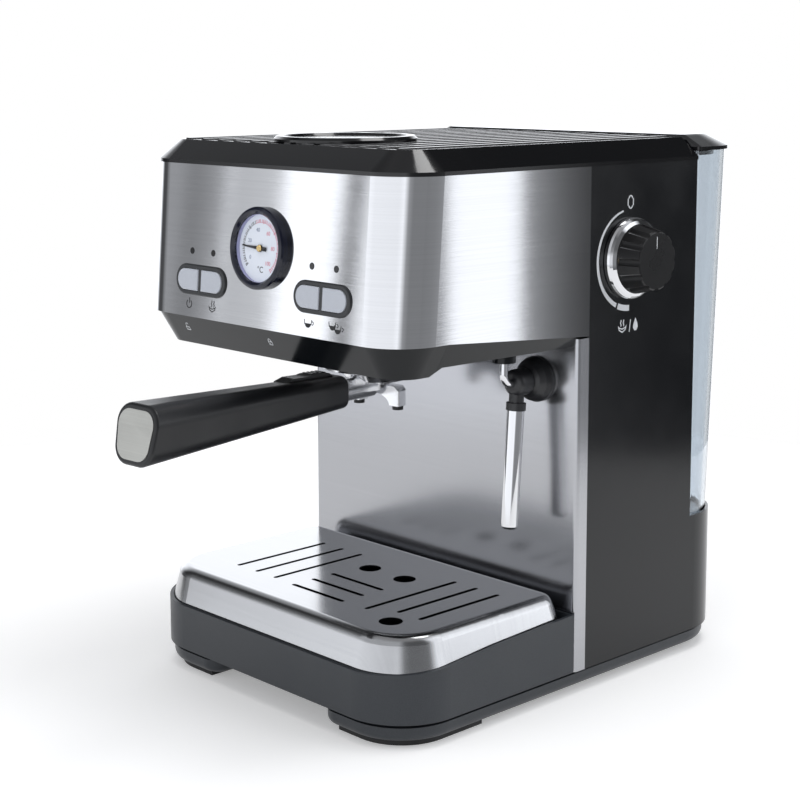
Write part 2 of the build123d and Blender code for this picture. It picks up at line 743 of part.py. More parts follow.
def gauge_needle():
    tip = DIAL_R - 3.4
    hand = make_face(Polyline((0, 0.9), (tip, 0.25), (tip, -0.25), (0, -0.9), close=True))
    needle = extrude(Pos(0, 0, 0.9) * hand, 0.4)
    tail = make_face(Polyline((0, 0.8), (-5.0, 1.1), (-5.0, -1.1), (0, -0.8), close=True))
    needle += extrude(Pos(0, 0, 0.9) * tail, 0.4)
    needle += rod(1.9, 0.8, 1.6) + rod(0.9, -6.0, 1.6)
    return PANEL * Pos(PANEL_X, GAUGE_UP, 0) * Rot(0, 0, NEEDLE_ANGLE) * needle


def button_frame(place):
    """Dark pill-shaped frame with two openings for a pair of buttons."""
    x, up = place
    flange = extrude(pill(PILL, 0), PILL_RISE)
    flange = fillet(flange.faces().sort_by(Axis.Z)[-1].edges(), 0.8)
    frame = flange + extrude(Pos(0, 0, -PILL_DEPTH) * pill(PILL, PILL_BORDER / 2), PILL_DEPTH)
    opening = extrude(Pos(0, 0, -PILL_DEPTH - 1) * pill(PILL, PILL_BORDER), PILL_DEPTH + 5)
    bar = block((-DIVIDER / 2, DIVIDER / 2), (-9, 9), (-PILL_DEPTH - 2, 9))
    return PANEL * Pos(x, up, 0) * (frame - (opening - bar))


def button_places():
    """Middle of each button's cap and which side of its pair it is on."""
    reach = (PILL[0] / 2 - PILL_BORDER + DIVIDER / 2) / 2
    middles = panel_places()
    return [(x + side * reach, up, side) for x, up in middles for side in (-1, 1)]


def button(index):
    """Half-pill cap with a stem that reaches back to its switch."""
    x, up, side = button_places()[index]
    pair_x, pair_up = panel_places()[index // 2]
    cap = extrude(Pos(0, 0, -4.0) * pill(PILL, PILL_BORDER + BUTTON_GAP), 4.0 + BUTTON_RISE)
    inner = side * (DIVIDER / 2 + BUTTON_GAP)
    x_range = sorted((inner, side * PILL[0]))
    cap &= block(x_range, (-20, 20), (-20, 20))
    cap = fillet(cap.faces().sort_by(Axis.Z)[-1].edges(), 0.7)
    cap = Pos(pair_x, pair_up, 0) * cap
    return PANEL * (cap + rod(2.2, -BUTTON_STEM, -3.0, x, up))


def indicator_lights():
    lens = rod(LAMP_R - 0.05, -6.0, 0.2)
    lens = fillet(lens.faces().sort_by(Axis.Z)[-1].edges(), 0.15)
    return group(*[PANEL * Pos(x, up, 0) * lens for x, up in lamp_places()])


def chin_cut(rise):
    """Tool that steps the underside of the chin up behind its front lip."""
    low, high = CHIN_STEP
    points = [
        (low - rise, CHIN_FLOOR_Z - 85),
        (low - rise, CHIN_FLOOR_Z - 6 + rise),
        (high - rise, CHIN_FLOOR_Z + rise),
        (40, CHIN_FLOOR_Z + rise),
        (40, CHIN_FLOOR_Z - 85),
    ]
    return side_prism(points, BODY_WIDTH)


def chin_shape(inset, rise, depth):
    """Sloping collar under the head band; a second one hollows it."""
    start = CHIN_INSET + inset
    top = outline(HALF - start, start, depth, HEAD_CORNER_R - start, 0)
    slope = CHIN_SLOPE + inset
    low = outline(HALF - slope, slope, depth, HEAD_CORNER_R - slope, 0)
    collar = frustum(low, -CHIN_DROP + rise, top, 0)
    return collar + prism(top, 0, CHIN_COLLAR)


def chin_block(inset, rise):
    """Whole chin: a level lip in front, a tilted part behind it."""
    lip_depth = BAND_LEVEL_Y + HEAD_REACH
    lip = Pos(0, -HEAD_REACH, BAND_EDGE_Z) * chin_shape(inset, rise, lip_depth)
    rest = HEAD * chin_shape(inset, rise, HEAD_REACH + 30)
    rest &= block((-BODY_WIDTH, BODY_WIDTH), (BAND_LEVEL_Y, -0.1), (0, 400))
    return lip + rest - chin_cut(rise)


def head_chin():
    chin = chin_block(0, 0) - chin_block(WALL, WALL)
    chin += rod(PIPE_R + 4.0, CHIN_FLOOR_Z - 8, CHIN_FLOOR_Z + 1, WAND_X, PIPE_Y)
    low = CHIN_FLOOR_Z - 36
    high = CHIN_FLOOR_Z + 75
    chin -= rod(GROUP_R + 0.2, low, high, 0, BREW_Y)
    chin -= rod(PIPE_R, low, high, WAND_X, PIPE_Y)
    return chin


def lid_outline(inset, border=0.0):
    """Plan of the top lid, pulled in by an inset at its front and sides."""
    return outline(
        HALF + LID_OVERHANG - inset,
        FRONT_TOP - LID_OVERHANG + inset,
        COLUMN_DEPTH - border,
        HEAD_CORNER_R - inset,
        0,
    )


def top_lid():
    lip_z = TOP_Z + LID_LIP
    lid = prism(lid_outline(0), TOP_Z, lip_z)
    lid += frustum(lid_outline(0), lip_z, lid_outline(LID_SLOPE), LID_TOP)
    floor_z = LID_TOP - LID_RECESS
    hollow_top = floor_z - WALL
    hollow = frustum(
        lid_outline(3.6, WALL),
        TOP_Z,
        lid_outline(10.0, WALL),
        hollow_top,
    )
    lid -= hollow
    recess = LID_SLOPE + LID_BORDER
    lid -= prism(lid_outline(recess, LID_BORDER), floor_z, LID_TOP + 1)
    front = FRONT_TOP + recess - 1
    back = COLUMN_DEPTH - LID_BORDER + 1
    for index in range(RIB_COUNT):
        x = (index - (RIB_COUNT - 1) / 2) * RIB_PITCH
        rib = block(
            (x - RIB_WIDTH / 2, x + RIB_WIDTH / 2),
            (front, back),
            (floor_z - 0.5, LID_TOP + RIB_RISE),
        )
        lid += fillet(rib.edges().filter_by(Axis.Y).group_by(Axis.Z)[-1], 0.8)
    return lid - rod(DISC_R, floor_z, LID_TOP + 9, 0, DISC_Y)


def cup_disc():
    base = LID_TOP - LID_RECESS
    disc = turned(
        (0, base),
        (DISC_R, base),
        (DISC_R, DISC_TOP - 1.4),
        (DISC_R - 1.4, DISC_TOP),
        (DISC_DISH_R, DISC_TOP),
        (DISC_DISH_R - DISC_DISH, DISC_TOP - DISC_DISH),
        (0, DISC_TOP - DISC_DISH),
    )
    return Pos(0, DISC_Y, 0) * disc


def sector(inner, outer, half_angle, bottom, top):
    """Part of a flat ring, centred on +X."""
    far = 2 * outer
    reach = far * tan(radians(half_angle))
    wedge = make_face(Polyline((0, 0), (far, -reach), (far, reach), close=True))
    return ring(outer, inner, bottom, top) & extrude(Pos(0, 0, bottom) * wedge, top - bottom)


def group_head():
    roof = GASKET_Z + GASKET_HEIGHT
    body = turned(
        (2.0, GASKET_Z),
        (SCREEN_R, GASKET_Z),
        (SCREEN_R, roof),
        (BOWL_R, roof),
        (BOWL_R, GASKET_Z),
        (LUG_R + GAP, GASKET_Z),
        (LUG_R + GAP, LEDGE_TOP),
        (BOWL_R + GAP, LEDGE_TOP),
        (BOWL_R + GAP, GROUP_BOTTOM),
        (GROUP_R - 1.5, GROUP_BOTTOM),
        (GROUP_R, GROUP_BOTTOM + 1.5),
        (GROUP_R, GROUP_TOP),
        (2.0, GROUP_TOP),
    )
    entry = sector(BOWL_R - 1, LUG_R + GAP + 0.5, LUG_HALF_ANGLE + 3, GROUP_BOTTOM - 1, BOWL_TOP)
    for turn in (0, 180):
        body -= Rot(0, 0, HANDLE_ANGLE - LOCK_TURN + turn) * entry
    return Pos(0, BREW_Y, 0) * body


def group_gasket():
    return Pos(0, BREW_Y, 0) * ring(BOWL_R, SCREEN_R, GASKET_Z, GASKET_Z + GASKET_HEIGHT)


def shower_screen():
    screen = rod(SCREEN_R - 1, GASKET_Z - 1.4, GASKET_Z)
    for radius, count in ((7.0, 6), (13.0, 12), (19.0, 18)):
        screen -= [
            Rot(0, 0, 360 * index / count) * rod(0.8, 0, 300, radius)
            for index in range(count)
        ]
    screen -= rod(1.6, 0, 300)
    return Pos(0, BREW_Y, 0) * screen


def boiler_base():
    body = rod(BOILER_R, GROUP_TOP, BOILER_SPLIT)
    body += rod(BOILER_FLANGE_R, BOILER_SPLIT - 4, BOILER_SPLIT)
    body -= rod(BOILER_R - 5, GROUP_TOP + 4, BOILER_SPLIT + 1)
    body -= rod(2.0, GROUP_TOP - 1, GROUP_TOP + 5)
    port_z = (GROUP_TOP + BOILER_SPLIT - 4) / 2
    port = Pos(-BOILER_R - 4, 0, port_z) * Rot(0, 90, 0) * Cylinder(HOSE_R + 1, 10)
    body += port
    body -= Pos(-BOILER_R, 0, port_z) * Rot(0, 90, 0) * Cylinder(1.5, 30)
    body -= bolt_holes(BOILER_SPLIT - 9, BOILER_SPLIT + 9)
    return Pos(0, BREW_Y, 0) * body


def bolt_angles():
    """Angles of the four bolts that close the boiler."""
    return [45 + 90 * index for index in range(4)]


def bolt_holes(bottom, top):
    """Tool for the four boiler bolts, about the brew axis."""
    radius = (BOILER_R + BOILER_FLANGE_R) / 2
    hole = rod(2.0, bottom, top, radius)
    return group(*[Rot(0, 0, angle) * hole for angle in bolt_angles()])


def boiler_cover():
    body = rod(BOILER_R, BOILER_SPLIT, BOILER_TOP)
    body = fillet(body.faces().sort_by(Axis.Z)[-1].edges(), 5.0)
    body += rod(BOILER_FLANGE_R, BOILER_SPLIT, BOILER_SPLIT + 4)
    body -= rod(BOILER_R - 5, BOILER_SPLIT - 1, BOILER_TOP - 5)
    body -= rod(HOSE_R, BOILER_TOP - 9, BOILER_TOP + 1, 20, 0)
    for x in (-14, -2):
        body -= rod(3.2, BOILER_TOP - 9, BOILER_TOP + 1, x, -10)
    body -= bolt_holes(BOILER_SPLIT - 9, BOILER_SPLIT + 9)
    return Pos(0, BREW_Y, 0) * body


def boiler_bolts():
    radius = (BOILER_R + BOILER_FLANGE_R) / 2
    bolt = rod(2.0, BOILER_SPLIT - 7, BOILER_SPLIT + 4, radius)
    bolt += rod(2.8, BOILER_SPLIT + 4, BOILER_SPLIT + 8, radius)
    turned_bolts = [Rot(0, 0, angle) * bolt for angle in bolt_angles()]
    return group(*[Pos(0, BREW_Y, 0) * item for item in turned_bolts])


def heating_element():
    low = GROUP_TOP + 12
    high = BOILER_TOP + 8
    points = [
        (-14, -10, high),
        (-14, -10, low),
        (-14, 14, low),
        (-2, 14, low),
        (-2, -10, low),
        (-2, -10, high),
    ]
    return Pos(0, BREW_Y, 0) * tube(points, 3.2, 5.0)


def steam_valve():
    length, depth, height = VALVE_SIZE
    body = block((-length, 0), (-depth / 2, depth / 2), (-height / 2, height / 2))
    valve = Pos(HALF - WALL, KNOB_Y, KNOB_Z) * body
    valve -= KNOB * rod(STEM_R + 0.05, -WALL - length + 6, 10)
    valve -= rod(PIPE_R, KNOB_Z - height / 2 - 1, KNOB_Z - height / 2 + 6, WAND_X + 6, KNOB_Y)
    inlet_x = HALF - WALL - length
    valve -= Pos(inlet_x, KNOB_Y, KNOB_Z) * Rot(0, 90, 0) * Cylinder(HOSE_R, 8)
    return valve


def valve_stem():
    length = VALVE_SIZE[0]
    stem = rod(STEM_R, -WALL - length + 8, KNOB_HEIGHT - 6)
    return KNOB * stem


def knob_skirt():
    skirt = turned(
        (STEM_R + 2.5, GAP),
        (SKIRT_R, GAP),
        (SKIRT_R, 2.4),
        (SKIRT_R - 0.5, 3.6),
        (SKIRT_R - 1.6, 4.8),
        (KNOB_R, SKIRT_HEIGHT),
        (KNOB_R - 3, SKIRT_HEIGHT),
        (STEM_R + 2.5, SKIRT_HEIGHT),
    )
    return KNOB * skirt


def knob_cap():
    cap = loft(
        [Pos(0, 0, SKIRT_HEIGHT) * Circle(KNOB_R), Pos(0, 0, KNOB_HEIGHT) * Circle(KNOB_FACE_R)]
    )
    cap = fillet(cap.faces().sort_by(Axis.Z)[-1].edges(), 1.2)
    lean = degrees(atan2(KNOB_R - KNOB_FACE_R, KNOB_HEIGHT - SKIRT_HEIGHT))
    flute = Pos(KNOB_R + 1.5, 0, SKIRT_HEIGHT) * Rot(0, -lean, 0) * rod(2.6, 1.2, KNOB_HEIGHT)
    cap -= [Rot(0, 0, 360 * index / FLUTES) * flute for index in range(FLUTES)]
    cap += rod(STEM_R + 2.5, GAP, SKIRT_HEIGHT + 1)
    cap -= rod(STEM_R, -1, KNOB_HEIGHT - 6)
    return KNOB * cap


def steam_pipe():
    valve_x = WAND_X + 6
    valve_low = KNOB_Z - VALVE_SIZE[2] / 2
    points = [
        (valve_x, KNOB_Y, valve_low + 5),
        (valve_x, KNOB_Y, PIPE_TOP),
        (valve_x, KNOB_Y - 22, PIPE_TOP),
        (WAND_X, KNOB_Y - 36, PIPE_TOP),
        (WAND_X, PIPE_Y, PIPE_TOP),
        (WAND_X, PIPE_Y, WAND_Z),
        (WAND_X, WAND_Y - 5.0, WAND_Z),
    ]
    return tube(points, PIPE_R, 5.4, PIPE_R - 0.9)


def wand_dome():
    dome = turned(
        (3.05, 0),
        (DOME_R, 0),
        (DOME_R, 1.6),
        (DOME_R - 1.1, 4.6),
        (DOME_R - 3.4, 7.4),
        (DOME_R - 6.2, DOME_DEPTH - 0.5),
        (3.05, DOME_DEPTH),
    )
    dome += ring(4.0, 3.05, -SHEET, 0.5)
    return Pos(WAND_X, 0, WAND_Z) * Rot(90, 0, 0) * dome


def wand_elbow():
    back = -DOME_DEPTH - GAP
    front = WAND_Y - 4.7
    barrel = rod(ELBOW_R, -back, -front)
    barrel = fillet(barrel.faces().sort_by(Axis.Z)[-1].edges(), 3.0)
    barrel += rod(3.0, 3.0, -back)
    barrel = Pos(WAND_X, 0, WAND_Z) * Rot(90, 0, 0) * barrel
    arm = rod(ARM_R, -ARM_LENGTH - 1, 0) + rod(COLLAR_R, -ARM_LENGTH - 3.5, -ARM_LENGTH + 0.5)
    elbow = barrel + WAND * arm
    elbow -= WAND * rod(1.6, -40, 0)
    return elbow


def wand_tube():
    top = -ARM_LENGTH - 3.5
    pipe = ring(TUBE_R, 1.6, -TUBE_END + 2.0, top)
    return WAND * pipe


def wand_tip():
    tip = turned(
        (0.7, -TUBE_END),
        (TUBE_R - 1.4, -TUBE_END),
        (TUBE_R, -TUBE_END + 1.4),
        (TUBE_R, -TUBE_END + 2.0),
        (0.7, -TUBE_END + 2.0),
    )
    return WAND * tip


def filter_holder():
    bowl = turned(
        (0, SPOUT_TOP),
        (10, SPOUT_TOP),
        (17, SPOUT_TOP + 2),
        (20.5, BOWL_BOTTOM - 2.5),
        (21.0, BOWL_BOTTOM),
        (BOWL_R, BOWL_BOTTOM),
        (BOWL_R, BOWL_TOP),
        (BOWL_R - BOWL_WALL, BOWL_TOP),
        (BOWL_R - BOWL_WALL, BOWL_BOTTOM + 2),
        (18.0, BOWL_BOTTOM),
        (3.0, BOWL_BOTTOM - 4),
        (0, BOWL_BOTTOM - 4),
    )
    lug = sector(BOWL_R - 0.5, LUG_R, LUG_HALF_ANGLE, LUG_Z, BOWL_TOP)
    bowl += lug + Rot(0, 0, 180) * lug
    neck = rod(NECK_R, NECK_START, HANDLE_ROOT + NECK_DEPTH)
    bowl += Pos(0, 0, HANDLE_Z) * Rot(90, 0, 0) * neck
    bowl -= rod(3.0, SPOUT_TOP - 1, BOWL_BOTTOM)
    return HOLDER * bowl


def filter_basket():
    outer = BOWL_R - BOWL_WALL - 0.4
    low = BOWL_BOTTOM + 2.6
    cup = turned(
        (0, low),
        (outer - 4, low),
        (outer - 1.0, low + 3),
        (outer, BOWL_TOP),
        (BOWL_R - 0.4, BOWL_TOP),
        (BOWL_R - 0.4, BOWL_TOP + 0.8),
        (outer - 0.8, BOWL_TOP + 0.8),
        (outer - 1.8, low + 3.2),
        (outer - 4.4, low + 0.7),
        (0, low + 0.7),
    )
    return HOLDER * cup


def twin_spout():
    foot = SPOUT_Z + TIP_HEIGHT
    top = SPOUT_TOP - 1
    outer = SPOUT_X + SPOUT_LEG / 2
    inner = SPOUT_X - SPOUT_LEG / 2
    corners = ((-outer, foot), (-outer, top - 2.5), (-outer + 3, top))
    mirrored = [(-x, z) for x, z in reversed(corners)]
    profile = make_face(Plane.XZ * Polyline(*corners, *mirrored, close=True))
    spout = extrude(profile, SPOUT_HALF_DEPTH, both=True)
    arch = Plane.XZ * Pos(0, foot) * Ellipse(inner, 6.0)
    spout = fillet(spout.edges().filter_by(Axis.Z), 1.2)
    spout -= extrude(arch, 2 * SPOUT_HALF_DEPTH, both=True)
    spout += rod(6.0, SPOUT_TOP - 4, SPOUT_TOP)
    for x in (-SPOUT_X, SPOUT_X):
        spout -= rod(TIP_R - 1.2, foot - 1, foot + 4.0, x)
    spout -= rod(3.0, SPOUT_TOP - 3, SPOUT_TOP + 1)
    return HOLDER * spout


def spout_tips():
    tip = ring(TIP_R, TIP_R - 1.1, SPOUT_Z, SPOUT_Z + TIP_HEIGHT)
    return group(*[HOLDER * Pos(x, 0, 0) * tip for x in (-SPOUT_X, SPOUT_X)])


def handle_section(out):
    """Cross-section of the handle at a distance from the brew axis."""
    share = (out - HANDLE_ROOT) / (HANDLE_END - HANDLE_ROOT)
    width = ROOT_SIZE[0] + share * (END_SIZE[0] - ROOT_SIZE[0])
    height = ROOT_SIZE[1] + share * (END_SIZE[1] - ROOT_SIZE[1])
    corner = min(width, height) * HANDLE_ROUND
    plane = Plane(
        origin=(0, -out, HANDLE_Z - HANDLE_DROP * share),
        x_dir=(1, 0, 0),
        z_dir=(0, -1, 0),
    )
    return plane * tapered_pad(width, height, END_TAPER * share, corner)


def tapered_pad(width, height, taper, corner):
    """Rounded four-sided pad, narrower below than above."""
    half = width / 2
    low = half - taper
    corners = ((-low, -height / 2), (low, -height / 2), (half, height / 2), (-half, height / 2))
    face = make_face(Polyline(*corners, close=True))
    return fillet(face.vertices(), corner)


def handle_end_plane():
    """Plane of the handle's sloping end face, its Z pointing outwards."""
    lean = radians(HANDLE_LEAN)
    return Plane(
        origin=(0, -HANDLE_END, HANDLE_Z - HANDLE_DROP),
        x_dir=(1, 0, 0),
        z_dir=(0, -cos(lean), sin(lean)),
    )


def handle_shape():
    """Outside of the handle, before it is bored and pocketed."""
    body = loft([handle_section(out) for out in (HANDLE_ROOT, HANDLE_END + 12)])
    body -= handle_end_plane() * block((-50, 50), (-50, 50), (0, 50))
    body = fillet(body.faces().sort_by(Axis.Y)[0].edges(), 1.6)
    return fillet(body.faces().sort_by(Axis.Y)[-1].edges(), 1.5)


def end_plate(slack, height):
    """Metal plate let into the end of the handle."""
    border = 2.6 - slack
    width = END_SIZE[0] - 2 * border
    pad = tapered_pad(width, END_SIZE[1] - 2 * border, END_TAPER, END_SIZE[1] * 0.25)
    return handle_end_plane() * prism(pad, -1.0, height)


def clip_bar(radius, half_width):
    """Round bar on the axis of the basket clip, in the clip's plane."""
    return Pos(0, -CLIP_PIN_OUT, -CLIP_PIN_DOWN) * Rot(0, 90, 0) * Cylinder(radius, 2 * half_width)


def handle_grip():
    grip = handle_shape()
    grip -= end_plate(0, 5.0)
    grip -= Pos(0, 0, HANDLE_Z) * Rot(90, 0, 0) * rod(NECK_R, 0, HANDLE_ROOT + NECK_DEPTH)
    grip = HOLDER * grip
    half = CLIP_WIDTH / 2 + GAP
    floor = -CLIP_PIN_DOWN - CLIP_THICK / 2 - GAP
    length = CLIP_END - CLIP_START
    grip -= CLIP * block((-half, half), (-length - GAP, GAP), (floor, 9))
    return grip + CLIP * clip_bar(CLIP_PIN_R, half + 0.6)


def handle_end_cap():
    return HOLDER * end_plate(0, 0.3)


def basket_clip():
    half = CLIP_WIDTH / 2
    length = CLIP_END - CLIP_START
    low = CLIP_RISE - CLIP_THICK
    pad_top = CLIP_RISE + CLIP_PAD_RISE
    profile = [
        (-CLIP_PIN_OUT, low),
        (-length, low),
        (-length, low + 1.2),
        (-length + CLIP_RAMP, CLIP_RISE),
        (-CLIP_PAD - 3, CLIP_RISE),
        (-CLIP_PAD, pad_top),
        (-CLIP_PIN_OUT - 2, pad_top),
        (-CLIP_PIN_OUT, CLIP_RISE),
    ]
    clip = side_prism(profile, half)
    clip += clip_bar(CLIP_THICK / 2, half)
    for index in range(4):
        y = -CLIP_PAD + 1.5 + 3 * index
        clip += block((-half + 1, half - 1), (y - 0.7, y + 0.7), (0, pad_top + 0.5))
    clip -= clip_bar(CLIP_PIN_R + 0.08, half + 1)
    return CLIP * clip


def pump_bar(radius, y_range):
    """Round bar on the pump's axis."""
    y0, y1 = y_range
    return Pos(PUMP_X, (y0 + y1) / 2, PUMP_Z) * Rot(90, 0, 0) * Cylinder(radius, y1 - y0)


def pump_body():
    body = pump_bar(PUMP_R, (COIL_Y[0] - 4, COIL_Y[1] + 4))
    body += pump_bar(HOSE_R + 2.5, (PUMP_Y[0] + 2, COIL_Y[0] - 4))
    body += pump_bar(HOSE_R + 2.5, (COIL_Y[1] + 4, PUMP_Y[1] - 2))
    return body


def pump_coil():
    half = COIL_SIZE / 2
    coil = block((PUMP_X - half, PUMP_X + half), COIL_Y, (PUMP_Z - half, PUMP_Z + half))
    coil = fillet(coil.edges().filter_by(Axis.Y), 4.0)
    return coil - pump_bar(PUMP_R, (0, 200))


def pump_bracket():
    floor = BASE_FLOOR
    half = COIL_SIZE / 2
    low = PUMP_Z - half
    plate_x = (PUMP_X - half + 4, PUMP_X + half - 4)
    bracket = block(plate_x, (COIL_Y[0] + 2, COIL_Y[1] - 2), (low - 2, low))
    for side in (-1, 1):
        x = PUMP_X + side * (half - 5)
        bracket += block((x - 1, x + 1), (COIL_Y[0] + 2, COIL_Y[1] - 2), (floor, low))
        foot = sorted((x, x + side * 12))
        bracket += block(foot, (COIL_Y[0] + 2, COIL_Y[1] - 2), (floor, floor + 2))
    return bracket


def inlet_hose():
    points = [
        (0, OUTLET_Y, SHELF_Z - WALL - 6),
        (0, OUTLET_Y, PUMP_Z),
        (PUMP_X, OUTLET_Y, PUMP_Z),
        (PUMP_X, PUMP_Y[1] - 2, PUMP_Z),
    ]
    hose = tube(points, HOSE_R, HOSE_BEND)
    cup_low = SHELF_Z - WALL - 9
    cup = ring(SEAL_R + 1.5, OUTLET_R + 1.0, cup_low, SHELF_Z - WALL)
    cup += rod(SEAL_R + 1.5, cup_low - 2, cup_low)
    return hose + Pos(0, OUTLET_Y, 0) * cup


def pressure_hose():
    port_z = (GROUP_TOP + BOILER_SPLIT - 4) / 2
    points = [
        (PUMP_X, PUMP_Y[0] + 2, PUMP_Z),
        (PUMP_X, PUMP_Y[0] - 18, PUMP_Z),
        (PUMP_X, PUMP_Y[0] - 18, port_z),
        (PUMP_X, BREW_Y, port_z),
        (-BOILER_R - 9, BREW_Y, port_z),
    ]
    return tube(points, HOSE_R, 6.0)


def steam_hose():
    inlet_x = HALF - WALL - VALVE_SIZE[0]
    high = BOILER_TOP + 18
    points = [
        (20, BREW_Y, BOILER_TOP - 5),
        (20, BREW_Y, high),
        (20, KNOB_Y, high),
        (20, KNOB_Y, KNOB_Z),
        (inlet_x + 4, KNOB_Y, KNOB_Z),
    ]
    return tube(points, HOSE_R, HOSE_BEND)


def control_board():
    x = -HALF + WALL
    front, back = CONTROL_Y
    low, high = CONTROL_Z
    board = block((x + 6, x + 7.6), CONTROL_Y, CONTROL_Z)
    for y in (front + 6, back - 6):
        for z in (low + 6, high - 6):
            post = Pos(x + 3.5, y, z) * Rot(0, 90, 0) * Cylinder(3.0, 7)
            board += post
    board += block((x + 7.6, x + 26), (front + 10, front + 28), (low + 10, low + 32))
    board += block((x + 7.6, x + 22), (back - 26, back - 6), (low + 40, low + 66))
    return board


PIECES = {
    "base_plate": base_plate,
    "rubber_feet": rubber_feet,
    "base_screws": base_screws,
    "tray_housing": tray_housing,
    "tray_grid": tray_grid,
    "splash_plate": splash_plate,
    "column_shell": column_shell,
    "rear_base": rear_base,
    "cord_gland": cord_gland,
    "tank_seal": tank_seal,
    "tank_shell": tank_shell,
    "tank_valve": tank_valve,
    "tank_lid": tank_lid,
    "head_band": head_band,
    "head_chin": head_chin,
    "top_lid": top_lid,
    "cup_disc": cup_disc,
    "panel_frame": panel_frame,
    "button_board": button_board,
    "gauge_case": gauge_case,
    "gauge_dial": gauge_dial,
    "gauge_glass": gauge_glass,
    "gauge_needle": gauge_needle,
    "left_button_frame": lambda: button_frame(panel_places()[0]),
    "right_button_frame": lambda: button_frame(panel_places()[1]),
    "power_button": lambda: button(0),
    "steam_button": lambda: button(1),
    "single_cup_button": lambda: button(2),
    "double_cup_button": lambda: button(3),
    "indicator_lights": indicator_lights,
    "group_head": group_head,
    "group_gasket": group_gasket,
    "shower_screen": shower_screen,
    "boiler_base": boiler_base,
    "boiler_cover": boiler_cover,
    "boiler_bolts": boiler_bolts,
    "heating_element": heating_element,
    "steam_valve": steam_valve,
    "valve_stem": valve_stem,
    "knob_skirt": knob_skirt,
    "knob_cap": knob_cap,
    "steam_pipe": steam_pipe,
    "steam_hose": steam_hose,
    "pressure_hose": pressure_hose,
    "inlet_hose": inlet_hose,
    "pump_body": pump_body,
    "pump_coil": pump_coil,
    "pump_bracket": pump_bracket,
    "control_board": control_board,
    "wand_dome": wand_dome,
    "wand_elbow": wand_elbow,
    "wand_tube": wand_tube,
    "wand_tip": wand_tip,
    "filter_holder": filter_holder,
    "filter_basket": filter_basket,
    "twin_spout": twin_spout,
    "spout_tips": spout_tips,
    "handle_grip": handle_grip,
    "handle_end_cap": handle_end_cap,
    "basket_clip": basket_clip,
}


def main():
    os.makedirs("parts", exist_ok=True)
    for name, make in PIECES.items():
        export_step(FRAME * make(), f"parts/{name}.step")


if __name__ == "__main__":
    main()
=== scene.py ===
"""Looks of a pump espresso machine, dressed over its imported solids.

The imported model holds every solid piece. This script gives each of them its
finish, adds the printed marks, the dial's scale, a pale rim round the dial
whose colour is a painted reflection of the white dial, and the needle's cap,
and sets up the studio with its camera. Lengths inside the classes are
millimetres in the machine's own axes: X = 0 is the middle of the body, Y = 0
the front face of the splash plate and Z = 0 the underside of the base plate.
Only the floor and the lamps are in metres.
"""

import logging
import math
from dataclasses import dataclass
from enum import Enum

import bmesh
import bpy
from mathutils import Matrix, Vector

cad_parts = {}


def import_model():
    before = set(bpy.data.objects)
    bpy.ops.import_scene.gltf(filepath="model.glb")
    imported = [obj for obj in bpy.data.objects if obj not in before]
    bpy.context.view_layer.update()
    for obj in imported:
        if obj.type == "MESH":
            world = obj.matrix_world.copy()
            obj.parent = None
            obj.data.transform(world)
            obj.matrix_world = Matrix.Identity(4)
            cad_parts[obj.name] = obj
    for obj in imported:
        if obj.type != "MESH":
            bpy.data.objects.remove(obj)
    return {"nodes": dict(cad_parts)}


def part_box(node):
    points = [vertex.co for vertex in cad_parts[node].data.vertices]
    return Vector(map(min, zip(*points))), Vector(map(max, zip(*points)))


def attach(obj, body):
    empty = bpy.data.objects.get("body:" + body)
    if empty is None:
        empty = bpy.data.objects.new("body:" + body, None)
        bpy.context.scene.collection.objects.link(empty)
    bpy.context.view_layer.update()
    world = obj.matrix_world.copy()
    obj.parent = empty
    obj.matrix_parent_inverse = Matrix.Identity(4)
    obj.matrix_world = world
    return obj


log = logging.getLogger("espresso_machine")
MM = 0.001
Point = tuple[float, float]
Spot = tuple[float, float, float]
Colour = tuple[float, float, float]
Socket = bpy.types.NodeSocket


class Body(str, Enum):
    """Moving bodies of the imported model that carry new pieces."""

    HOUSING = "housing"
    KNOB = "steam_knob"
    HAND = "gauge_hand"


class Slot(str, Enum):
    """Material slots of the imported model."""

    WHITE_PAINT = "dial_white"
    BLACK_PAINT = "needle_black"
    BRASS = "brass"


class Brush(Enum):
    """Which way a metal sheet is brushed, as stretches along X, Y and Z."""

    LEVEL = (7.0, 7.0, 2600.0)
    ACROSS = (7.0, 2200.0, 7.0)
    ROUND = (900.0, 900.0, 900.0)


